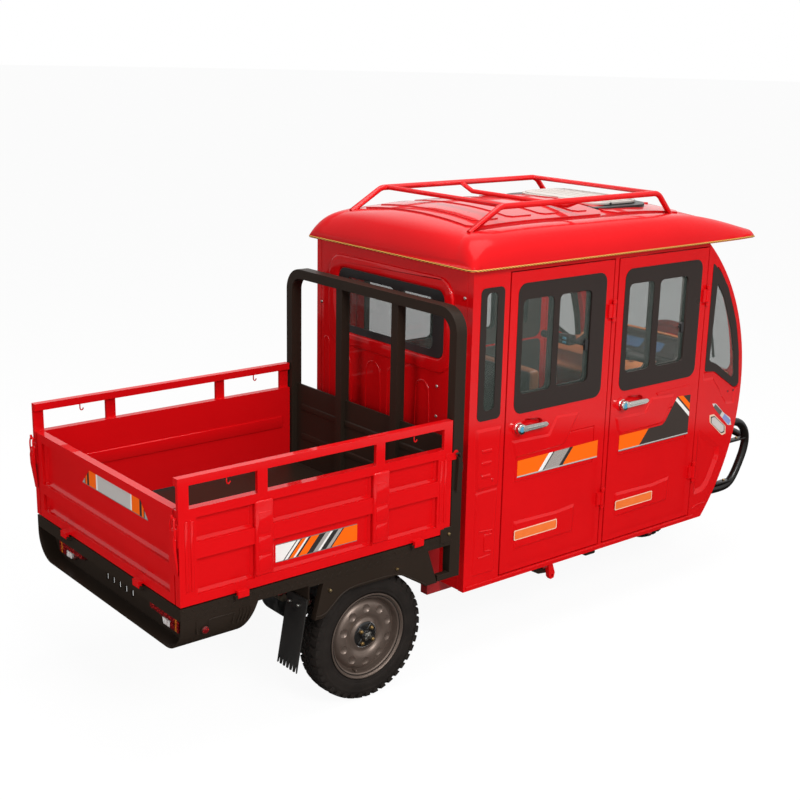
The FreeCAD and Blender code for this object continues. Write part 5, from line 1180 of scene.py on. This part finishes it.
panes, rims = [], []
for sign in (-1, 1):
    casing = window_rim(square(rear + 1.3275, rear + 1.4485, 0.9840, border_top), sign, 0.022)
    rims.append(frame_hole(casing, square(rear + 1.358, rear + 1.414, 1.022, 1.482), sign, 0.020))
    panes.append(block((rear + 1.350, sign * pane_in, 1.014),
                       (rear + 1.422, sign * pane_out, 1.49), 0.0008))
    casing = window_rim(spots((2.6965, 1.478), (2.6965, 0.9885), (2.767, 0.980),
                              (2.924, 0.8825), (2.9515, 0.897), (2.932, 1.050), (2.895, 1.190),
                              (2.815, 1.357), (2.755, 1.430)), sign, 0.012)
    rims.append(frame_hole(casing, spots((2.736, 1.385), (2.722, 1.035), (2.778, 1.012),
                                         (2.902, 0.930), (2.913, 0.948), (2.897, 1.045),
                                         (2.862, 1.165), (2.795, 1.310)), sign, 0.010))
    panes.append(rounded(spots((2.728, 1.40), (2.714, 1.028), (2.775, 1.004), (2.906, 0.919),
                               (2.921, 0.945), (2.905, 1.047), (2.869, 1.168), (2.800, 1.318)),
                         "y", sign * pane_in, sign * pane_out, 0.008, 6))
# The rear window's border takes the darker black plastic instead of the side borders' finish,
# painting in the dark reflection that it shows
casing = rounded(square(-0.3375, 0.3375, 1.2025, 1.4705), "x", wall_x - 0.0025,
                 wall_x + 0.006, 0.042, 6)
for low, high in ((-0.272, -0.064), (-0.030, 0.288)):
    carve(casing, rounded(square(low, high, 1.232, 1.436), "x", wall_x - 0.02, wall_x + 0.02,
                          0.024, 6))
fit(casing, "rear_window_border", "chassis", knob_black, 0.0012)
panes.append(block((wall_x - 0.0005, -0.285, 1.22), (wall_x + 0.0025, 0.30, 1.448), 0.0008))
fit(join(rims), "fixed_window_borders", "chassis", border, 0.0012)
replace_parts(fit(join(panes), "fixed_window_panes", "chassis", glass),
            "fixed_glass")


# The roof: a moulded red shell with a crowned top and a visor over the windscreen. Its top
# has raised panels, and a gold cord is glued along the eave from the visor round the rear.
# The roof's paint is the body's red made a little darker, as painted shade on the roof
shaded_roof_red = enamel("shaded roof red", (0.62, 0.006, 0.009), (0.54, 0.005, 0.007), 0.3,
                  Specular_IOR_Level=0.04, Coat_Weight=0.12, Coat_Roughness=0.05)
top_light = (shaded_roof_red.place("Z") - 1.672) * 22.0
top_light = shaded_roof_red.add("ShaderNodeClamp", {}, {0: top_light, 1: 0.12, 2: 0.75})
shaded_roof_red.set(Coat_Weight=top_light)
shell = pressed("roof_shell", 0, shaded_roof_red, fold=35)
curb_top = 1.7402
for start, drop in ((2.55, 0.034), (0.0, 0.014)):
    push(lambda point: point.co.z > curb_top and point.co.x > rear + start, (0, 0, -drop))


def slice_off(place, normal):
    """Cuts the open piece along a plane and drops the side that the normal points to."""
    bpy.ops.mesh.select_all(action="SELECT")
    bpy.ops.mesh.bisect(plane_co=place, plane_no=normal, clear_outer=True)


def roof_panel(x0, x1, half, rise, corner):
    """A raised panel of the roof's top, cut from a copy of the shell so that it follows it."""
    piece = copied(shell)
    pick("FACE", lambda face: face.normal.z < 0.4 or face.calc_center_median().z < 1.60)
    bpy.ops.mesh.delete(type="FACE")
    slice_off((rear + x0, 0, 0), (-1, 0, 0))
    slice_off((rear + x1, 0, 0), (1, 0, 0))
    slice_off((0, -half, 0), (0, -1, 0))
    slice_off((0, half, 0), (0, 1, 0))
    for x, way in ((x0, -1), (x1, 1)):
        for hand in (-1, 1):
            slice_off((rear + x - way * corner, hand * half, 0), (way * 0.7071, hand * 0.7071, 0))
    close()
    wall = piece.modifiers.new("wall", "SOLIDIFY")
    wall.thickness = rise
    wall.offset = 1
    bpy.ops.object.modifier_apply(modifier="wall")
    return piece


crown = [roof_panel(x0, x1, 0.352, 0.006, 0.04) for x0, x1 in ((1.405, 2.150), (2.175, 2.640))]
crown += [roof_panel(x0, x1, 0.300, 0.010, 0.02)
          for x0, x1 in ((1.460, 1.600), (1.640, 1.780), (1.820, 1.940), (2.010, 2.100))]
fit(join(crown), "roof_panels", "chassis", shaded_roof_red, 0.003)
gold = Finish("gold cord", (0.6, 0.3, 0.04), 0.5)
# The strands are gold; the grooves between them are painted dark as shade, and the twist also
# bumps the surface
twist = (gold.place("X") + gold.place("Y") * 0.7 + gold.place("Z") * 2.0) * 62.0 % 1.0
gold.set(Base_Color=gold.ramp(twist, (0.35, (0.16, 0.06, 0.01)), (0.55, (0.72, 0.37, 0.05))))
gold.bump(twist, 0.0008)
half_eave = [(2.947, 0.512), (2.843, 0.521), (2.716, 0.5265), (2.501, 0.5285), (2.0, 0.5285),
             (1.6, 0.5285), (1.320, 0.5285), (1.288, 0.5275), (1.266, 0.522), (1.2565, 0.510),
             (1.2545, 0.48), (1.2545, 0.3)]
route = spots(*((x, y, 1.577) for x, y in half_eave))
route += [(x, -y, z) for x, y, z in route[::-1]]
cord_trim = wire("eave_cord", route, 0.0036, 3, 3)
fit(cord_trim, "eave_cord", "chassis", gold)


# The roof hatch: a pale grey plastic lid on a black rubber collar, held by two side knobs.
lid_grey = mottled("hatch plastic", 0.4, (0.56, 0.53, 0.49), (0.5, 0.47, 0.43), 60.0,
                   grain=(300.0, 0.0003, 1.0, 3.0))


def oblong(x0, x1, half, low, high, bend):
    """A flat oblong piece with round corners, lying across the vehicle's middle."""
    return rounded(square(rear + x0, rear + x1, -half, half), "z", low, high, bend, 8)


lid = [oblong(2.190, 2.495, 0.250, 1.7290, 1.7395, 0.090),
       oblong(2.204, 2.481, 0.236, 1.7390, 1.7440, 0.080)]
lid += [block((rear + x - 0.005, -0.19, 1.7435), (rear + x + 0.005, 0.19, 1.7460), 0.0012)
        for x in (2.27, 2.315, 2.36, 2.405, 2.45)]
hatch = fit(join(lid), "roof_hatch_lid", "chassis", lid_grey, 0.0025)
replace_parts(hatch, "roof_vent")
collar = oblong(2.120, 2.515, 0.296, 1.690, 1.7262, 0.110)
neck = oblong(2.196, 2.488, 0.244, 1.700, 1.7292, 0.084)
knobs = [cross_rod(rear + 2.28, 1.7345, sign * 0.240, sign * 0.2555, 0.0045, 20, 0.001)
         for sign in (-1, 1)]
fit(join([collar, neck, *knobs]), "roof_hatch_collar", "chassis", knob_black,
    0.003)
pressed("roof_rack", 0, red, fold=35)


# The nose: a rounded red pressing with a wide windscreen, two round lamps in chrome rings, and
# two small blank badges on each side.
pressed("cab_nose", 0, red, fold=35)
pressed("windscreen", 0, glass, fold=35)
lamp_clear = fluted("lamp glass", (0.6, 0.62, 0.62), 0.08, 180.0, 0.1, (0.4, 0.42, 0.42),
                    (0.78, 0.8, 0.8), 0.0006, Metallic=0.3, Coat_Weight=0.8)
lenses, bezels = [], []
low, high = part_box("head_lamps")
for sign in (-1, 1):
    centre = Vector(((low.x + high.x) / 2, sign * (high.y - 0.068), (low.z + high.z) / 2))
    lens = spun([(0.0005, 0.026), (0.030, 0.022), (0.052, 0.012), (0.060, 0.0), (0.060, -0.024),
                 (0.0005, -0.024)], 48, "x")
    lenses.append(moved(lens, centre))
    bright = spun([(0.0605, -0.024), (0.068, -0.024), (0.068, 0.002), (0.0655, 0.006),
                   (0.0615, 0.005)], 48, "x")
    bezels.append(moved(bright, centre))
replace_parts(fit(join(lenses), "head_lamp_lenses", "chassis", lamp_clear),
            "head_lamps")
fit(join(bezels), "head_lamp_rings", "chassis", chrome)
badges, stickers, sticker_rims, holes = [], [], [], []
for sign in (-1, 1):
    flat = (sign * (skin - 0.0015), sign * (skin + 0.0014))
    badges.append(rounded(spots((2.772, 0.828), (2.790, 0.804), (2.900, 0.706), (2.926, 0.702),
                                (2.914, 0.738), (2.858, 0.774), (2.800, 0.824)), "y", *flat,
                          0.004))
    shape = ((2.760, 0.776), (2.764, 0.742), (2.862, 0.664), (2.888, 0.668), (2.884, 0.704),
             (2.790, 0.776))
    sticker_rims.append(rounded(spots(*shape), "y", *flat, 0.004))
    for group, share, rise in ((holes, 0.84, 0.0016), (stickers, 0.74, 0.0018)):
        group.append(rounded([(rear + 2.824 + (x - 2.824) * (share + 0.03),
                               0.720 + (z - 0.720) * share) for x, z in shape], "y",
                             sign * skin, sign * (skin + rise), 0.003))
    for x in (2.885, 2.926):
        holes.append(cross_rod(rear + x, 0.868, sign * (skin - 0.008), sign * (skin - 0.0042),
                               0.0045, 16))
badge_chrome = Finish("badge", (0.6, 0.58, 0.55), 0.3, Specular_IOR_Level=0.4)
x = badge_chrome.place("X") - rear
z = badge_chrome.place("Z")
along = x * 0.78 - z * 0.62
across = abs(x * 0.62 + z * 0.78 - 2.364)
oval = (along > 1.668) * (along < 1.738) * (across < 0.011)
patch = (along > 1.762) * (along < 1.828) * (across < 0.012)
badge_chrome.set(Base_Color=badge_chrome.blend(
    patch, badge_chrome.blend(oval, (0.6, 0.58, 0.55), (0.1, 0.095, 0.09)), (0.22, 0.27, 0.55)))
fit(join(badges), "side_badges", "chassis", badge_chrome, 0.0006)
white_film = mottled("white sticker", 0.35, (0.62, 0.58, 0.56), (0.5, 0.46, 0.44), 20.0,
                     Specular_IOR_Level=0.2)
fit(join(stickers), "side_stickers", "chassis", white_film, 0.0006)
fit(join(sticker_rims), "side_sticker_rims", "chassis", sticker_rim, 0.0006)
fit(join(holes), "mirror_holes", "chassis", knob_black)

# The wiper: a black arm and blade inside the windscreen's foot
wiper = [wire("arm", spots((2.985, -0.16, 0.962), (2.984, -0.24, 1.03), (2.962, -0.30, 1.09)),
              0.005, 3, 3),
         wire("blade", spots((2.972, -0.330, 0.985), (2.958, -0.322, 1.09),
                             (2.925, -0.315, 1.22)), 0.006, 3, 3)]
fit(join(wiper), "wiper", "chassis", knob_black)


# The bumper: thick black tube bent into a hoop at each corner of the nose, joined by a bowed
# cross tube and held by small brackets with yellow bolts.
gloss = enamel("bumper enamel", (0.009, 0.007, 0.006), (0.006, 0.005, 0.004), 0.25,
               Specular_IOR_Level=0.3)
hoops, bolts = [], []
hoop_y = 0.455
for sign in (-1, 1):
    y = sign * hoop_y
    hoops.append(bent("hoop", y, [
        (2.905, 0.694), (2.985, 0.698), (3.030, 0.692), (3.066, 0.669), (3.093, 0.634),
        (3.102, 0.596), (3.098, 0.556), (3.084, 0.518), (3.062, 0.474), (3.036, 0.428),
        (3.003, 0.393), (2.958, 0.381), (2.900, 0.383), (2.860, 0.385)], 0.0190, 4, 6))
    for x0, x1, z in ((2.960, 3.085, 0.604), (2.890, 3.000, 0.408)):
        hoops.append(block((rear + x0, y - 0.016, z - 0.005), (rear + x1, y + 0.016, z + 0.005),
                           0.003))
        bolts.append(rod((rear + x0 + 0.075, y - sign * 0.002, z + 0.003),
                         (rear + x0 + 0.075, y - sign * 0.002, z + 0.011), 0.0068, 6, 0.0012))
# The cross tube bows forward by 98 mm in its middle
bow = [(rear + 3.198 - 0.098 * (step / 8.0) ** 2, step / 8.0 * hoop_y, 0.602)
       for step in range(-8, 9)]
hoops.append(wire("cross", bow, 0.0165, 4, 6))
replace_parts(fit(join(hoops), "bumper_tubes", "chassis", gloss), "bull_bar")
fit(join(bolts), "bumper_bolts", "chassis", brass)


# The fork and its mudguard: a black steering fork with an iron axle, its stem raked back
# through the floor, and a moulded guard close over the front tyre.
pressed("fork", 0.001, black, fold=35)
pressed("front_mudguard", 0.0015, black, fold=35)


# The cab's floor is a folded steel tray sprayed black, with ribbed rubber mats laid in it.
# The battery box under the bench is a louvred steel case with a lid and two catches.
pressed("cab_floor", 0.0015, black)
pressed("battery_box", 0.005, black)
mats = []
for x0, x1 in ((1.775, 1.955), (2.330, 2.508)):
    mats.append(block((rear + x0, -0.455, 0.3208), (rear + x1, 0.455, 0.3250), 0.002))
    rib = block((rear + x0 + 0.010, -0.446, 0.3245), (rear + x1 - 0.010, -0.438, 0.3275), 0.001)
    mats.append(row(rib, 45, (0, 0.0201, 0)))
fit(join(mats), "floor_mats", "chassis", flap_rubber)
lid_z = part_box("battery_box")[1].z - 0.012
vents = [block((rear + 1.3565, -0.4015, lid_z), (rear + 1.7235, 0.4015, lid_z + 0.0105), 0.003)]
for y in (-0.28, 0.0, 0.28):
    louvre = prism(spots((1.7195, 0.352), (1.7255, 0.356), (1.7195, 0.368)), "y", y - 0.07,
                   y + 0.07)
    vents.append(row(louvre, 5, (0, 0, 0.024)))
fit(join(vents), "battery_louvres", "chassis", black, 0.0012)
catches = []
for y in (-0.15, 0.15):
    catches += [block((rear + 1.7190, y - 0.010, 0.455), (rear + 1.7270, y + 0.010, 0.495), 0.003),
                cross_rod(rear + 1.725, 0.470, y - 0.013, y + 0.013, 0.004, 16, 0.001)]
fit(join(catches), "battery_catches", "chassis", zinc, 0.0008)


# The dashboard: a grained tan moulding across the cab with an open glove tray on the left, and
# a hooded instrument panel in its middle with two dark displays and plain rocker switches.
tan = mottled("tan moulding", 0.5, (0.66, 0.25, 0.095), (0.54, 0.19, 0.07), 12.0,
              grain=(700.0, 0.0004, 0.6, 2.0), Specular_IOR_Level=0.3)
panel_black = Finish("panel black", (0.022, 0.02, 0.019), 0.45)
panel_black.set(Roughness=panel_black.noise(30.0) * 0.2 + 0.35)
panel_black.bump(panel_black.noise(900.0, 1.0), 0.0002)
screen = Finish("display", (0.05, 0.1, 0.2), 0.15, Coat_Weight=0.5)
glint = abs(screen.place("Y") * 130.0 % 1.0 - 0.5) < 0.12
screen.set(Base_Color=screen.blend(glint, (0.03, 0.07, 0.16), (0.16, 0.3, 0.42)))
dash = rounded(spots((2.682, 0.826), (2.914, 0.826), (2.914, 0.952), (2.800, 0.959),
                     (2.716, 0.957), (2.684, 0.925)), "y", -0.4655, 0.4655, 0.014)
carve(dash, block((rear + 2.60, 0.145, 0.846), (rear + 2.735, 0.425, 0.924), 0.014))
vent_places = (-0.40, -0.24)
for y in vent_places:
    carve(dash, block((rear + 2.60, y - 0.055, 0.862), (rear + 2.692, y + 0.055, 0.908), 0.010))
hood = prism(spots((2.722, 0.950), (2.730, 0.984), (2.832, 1.066), (2.872, 1.064),
                   (2.912, 1.000), (2.914, 0.950)), "y", -0.32, 0.32)
pick("VERT", lambda point: point.co.z > 1.03)
bpy.ops.transform.resize(value=(1, 0.78, 1), center_override=(0, 0, 0))
close()
pick("FACE", lambda face: face.normal.z > 0.5 and face.normal.x < -0.5)
bpy.ops.mesh.inset(thickness=0.014, depth=-0.010)
close()
hood_rim = wire("rim", spots(
    (2.724, -0.322, 0.956), (2.738, -0.320, 0.992), (2.830, -0.258, 1.067), (2.868, -0.244, 1.070),
    (2.868, 0.244, 1.070), (2.830, 0.258, 1.067), (2.738, 0.320, 0.992), (2.724, 0.322, 0.956)),
                0.0055, 3, 3)
moulding = fit(join([dash, hood_rim]), "dash_moulding", "chassis", tan, 0.005)
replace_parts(moulding, "dashboard")
fit(hood, "instrument_hood", "chassis", panel_black, 0.005)
centre = Vector((rear + 2.787, 0, 1.0195))
panel = prism([(centre.x - 0.048, -0.270), (centre.x + 0.046, -0.228), (centre.x + 0.046, 0.228),
               (centre.x - 0.048, 0.270)], "z", centre.z - 0.006, centre.z + 0.001)
displays = [rounded(square(centre.x - 0.028, centre.x + 0.028, y - wide, y + wide), "z", centre.z,
                    centre.z + 0.0030, 0.012) for y, wide in ((0.035, 0.085), (-0.125, 0.050))]
switches = [panel] + [block((centre.x - 0.018, y - 0.011, centre.z),
                            (centre.x + 0.014, y + 0.011, centre.z + 0.006), 0.003)
                      for y in (0.155, 0.185, 0.215)]
fins = [row(block((rear + 2.684, y - 0.052, 0.866), (rear + 2.691, y + 0.052, 0.8695), 0.0012),
            5, (0, 0, 0.009)) for y in vent_places]
slope = -38.7
fit(turn(join(switches), slope, "Y", centre), "instrument_panel", "chassis",
    panel_black, 0.0008)
fit(join(fins), "dash_vents", "chassis", panel_black)
fit(turn(join(displays), slope, "Y", centre), "instrument_displays", "chassis",
    screen, 0.0006)


# The handlebar's dress: rubber grips, switch pods with blue buttons, brake levers, a round
# dial with a plain scale on the centre cover, and a key in its lock below.
pressed("handlebar", 0.002, knob_black)
grip_rubber = mottled("grip rubber", 0.7, (0.03, 0.028, 0.026), (0.014, 0.013, 0.012), 90.0)
bar_x, bar_z = rear + 2.506, 1.034
grips, pods, levers, buttons = [], [], [], []
for sign in (-1, 1):
    wave = [(0.0178 if step % 2 else 0.0164, sign * (0.232 + step * 0.006)) for step in range(16)]
    grip = spun([(0.0105, sign * 0.220), (0.0225, sign * 0.2205), (0.0230, sign * 0.2235),
                 (0.0170, sign * 0.2265), *wave, (0.0150, sign * 0.3312),
                 (0.0105, sign * 0.3320)], 28, "y")
    grips.append(moved(grip, (bar_x, 0, bar_z)))
    pods.append(block((bar_x - 0.024, sign * 0.132, bar_z - 0.023),
                      (bar_x + 0.026, sign * 0.214, bar_z + 0.024), 0.009))
    for z in (-0.010, 0.010):
        buttons.append(block((bar_x - 0.0275, sign * 0.163 - 0.012, bar_z + z - 0.006),
                             (bar_x - 0.022, sign * 0.163 + 0.012, bar_z + z + 0.006), 0.0025))
    for group, name, radius, sides, path in (
            (levers, "lever", 0.0045, 4, ((0.022, 0.175, -0.004), (0.046, 0.205, -0.006),
                                          (0.052, 0.270, -0.010), (0.048, 0.335, -0.014))),
            (pods, "cable", 0.0032, 3, ((0.024, 0.150, 0.0), (0.052, 0.120, 0.004),
                                        (0.062, 0.070, -0.030), (0.040, 0.030, -0.010)))):
        group.append(wire(name, [(bar_x + x, sign * y, bar_z + z) for x, y, z in path], radius, 3,
                          sides))
fit(join(grips), "bar_grips", "steering", grip_rubber)
fit(join(pods), "switch_pods", "steering", knob_black)
fit(join(buttons), "switch_buttons", "steering", lock_blue)
fit(join(levers), "brake_levers", "steering", zinc)
dial_top = Vector((rear + 2.554, 0, 1.1105))
bezel = spun([(0.030, -0.004), (0.036, -0.004), (0.036, 0.004), (0.033, 0.006), (0.030, 0.0035)],
             40, "z")
face = spun([(0.0005, -0.003), (0.0305, -0.003), (0.0305, 0.0015), (0.0005, 0.0015)], 40, "z")
dial_tilt = -24.3
for piece in (bezel, face):
    turn(moved(piece, dial_top), dial_tilt, "Y", dial_top)
dial_face = Finish("dial face", (0.5, 0.55, 0.6), 0.2, Coat_Weight=0.6)
from_middle = dial_face.add("ShaderNodeVectorMath", {"operation": "DISTANCE"},
                            {0: dial_face.place(), 1: tuple(dial_top)}, 1)
marks = (from_middle * 400.0 % 1.0 > 0.5) * (from_middle > 0.022)
dial_face.set(Base_Color=dial_face.blend(marks, (0.5, 0.55, 0.6), (0.02, 0.02, 0.025)))
fit(bezel, "dial_bezel", "steering", chrome)
fit(face, "dial_face", "steering", dial_face)
key = [rod((rear + 2.700, -0.073, 0.962), (rear + 2.684, -0.073, 0.985), 0.009, 20, 0.002),
       block((rear + 2.672, -0.076, 0.976), (rear + 2.692, -0.070, 1.004), 0.003)]
fit(join(key), "ignition_key", "chassis", chrome, 0.0005)


# The seats: foam cushions under grained tan leatherette, welted along their top edges and
# sewn into channels, on black backing boards. Pressure swells them between their seams.
leather = mottled("leatherette", 0.45, (0.36, 0.15, 0.065), (0.25, 0.095, 0.04), 9.0, 4.0,
                  (850.0, 0.0004, 0.7, 3.0), (25.0, 0.2, 0.35), Specular_IOR_Level=0.35)
welt_brown = mottled("welt", 0.5, (0.08, 0.04, 0.028), (0.05, 0.025, 0.016), 200.0)


def cushion(name, low, high, crown, channels, voxel):
    """A cushion blown up from a block: its back, its welt and its channels stay sewn down."""
    piece = block(low, high, 0.018)
    grid = piece.modifiers.new("grid", "REMESH")
    grid.mode = "VOXEL"
    grid.voxel_size = voxel
    bpy.ops.object.modifier_apply(modifier="grid")
    still = [point.co.copy() for point in piece.data.vertices]
    sides = [axis for axis in range(3) if axis != crown]
    seam = high[crown] - 0.0053

    def sewn(point):
        spot = point.co
        outer = any(high[axis] - spot[axis] < 0.011 or spot[axis] - low[axis] < 0.011
                    for axis in sides)
        ditch = any(abs(spot[axis] - place) < voxel * 0.6 for axis, place in channels)
        return (spot[crown] < low[crown] + 0.004 or
                (outer and abs(spot[crown] - seam) < voxel * 0.6) or
                (ditch and spot[crown] > high[crown] - 0.006))

    pick("VERT", sewn)
    bpy.ops.object.vertex_group_assign_new()
    close()
    swell = piece.modifiers.new("swell", "CLOTH")
    swell.settings.use_pressure = True
    swell.settings.uniform_pressure_force = 4
    swell.settings.effector_weights.gravity = 0
    swell.settings.vertex_group_mass = piece.vertex_groups[0].name
    for step in range(1, 21):
        scene.frame_set(step)
    bpy.ops.object.modifier_apply(modifier="swell")
    scene.frame_set(1)
    furthest = 0.009
    for point, was in zip(piece.data.vertices, still):
        step = point.co - was
        if step.length > furthest:
            point.co = was + step * (furthest / step.length)
    piece.modifiers.new("smooth", "SUBSURF").levels = 1
    bpy.ops.object.modifier_apply(modifier="smooth")
    piece.vertex_groups.clear()
    fit(piece, name, "chassis", leather, fold=80)
    corners = []
    first, second = sides
    for a, b in ((low, low), (high, low), (high, high), (low, high), (low, low)):
        spot = [seam] * 3
        spot[first] = a[first] + (0.004 if a is low else -0.004)
        spot[second] = b[second] + (0.004 if b is low else -0.004)
        corners.append(spot)
    path = []
    for start, end in zip(corners, corners[1:]):
        start, end = Vector(start), Vector(end)
        way = (end - start).normalized() * 0.016
        path += [start + way, end - way]
    path.append(path[0])
    return piece, wire("welt", path, 0.0032, 3, 3)


welts, boards = [], []
for name, x0, x1, z0, z1, half, gaps, voxel in (
        ("driver", 1.910, 2.350, 0.540, 1.040, 0.185, (-0.08, 0.08), 0.006),
        ("bench", 1.3183, 1.760, 0.500, 1.000, 0.440, (-0.22, 0.0, 0.22), 0.008)):
    seat_low = (rear + x0 + 0.084, -half + 0.007, z0 + 0.008)
    seat_high = (rear + x1 - 0.007, half - 0.007, z0 + 0.084)
    back_low = (rear + x0 + 0.008, -half + 0.007, z0 + 0.062)
    back_high = (rear + x0 + 0.076, half - 0.007, z1 - 0.007)
    across = [(1, y) for y in gaps]
    seat_lines = across + [(0, rear + x0 + 0.20)]
    back_lines = across + [(2, z1 - 0.12)]
    seat_pad, seat_welt = cushion(f"{name}_seat_cushion", seat_low, seat_high, 2, seat_lines,
                                  voxel)
    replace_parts(seat_pad, "driver_seat" if name == "driver" else "rear_bench")
    back_welt = cushion(f"{name}_back_cushion", back_low, back_high, 0, back_lines, voxel)[1]
    welts += [seat_welt, back_welt]
    boards += [block((rear + x0, -half + 0.004, z0 + 0.055),
                     (rear + x0 + 0.011, half - 0.004, z1 - 0.01), 0.004),
               block((rear + x0 + 0.004, -half + 0.004, z0 + 0.0005),
                     (rear + x1 - 0.012, half - 0.004, z0 + 0.0105), 0.004)]
fit(join(welts), "seat_welts", "chassis", welt_brown)
fit(join(boards), "seat_boards", "chassis", panel_black)


# Small fittings under the cab's right edge: a black sheet shield and a rubber-faced pad, both
# screwed to the sill, with a red bracket beside them that hangs down and has a hole at its end.
shield = prism(spots((1.712, 0.298), (1.800, 0.298), (1.800, 0.234), (1.752, 0.240),
                     (1.712, 0.262)), "y", -0.452, -0.446)
pad = block((rear + 2.016, -0.472, 0.262), (rear + 2.078, -0.440, 0.298), 0.006)
fit(join([shield, pad]), "sill_shield", "chassis", black, 0.001)
arm = prism(spots((1.786, 0.300), (1.806, 0.300), (1.829, 0.236), (1.824, 0.214),
                  (1.806, 0.210), (1.796, 0.222)), "y", -0.474, -0.454)
carve(arm, cross_rod(rear + 1.814, 0.226, -0.49, -0.44, 0.006, 18))
fit(arm, "sill_bracket", "chassis", red, 0.0015)
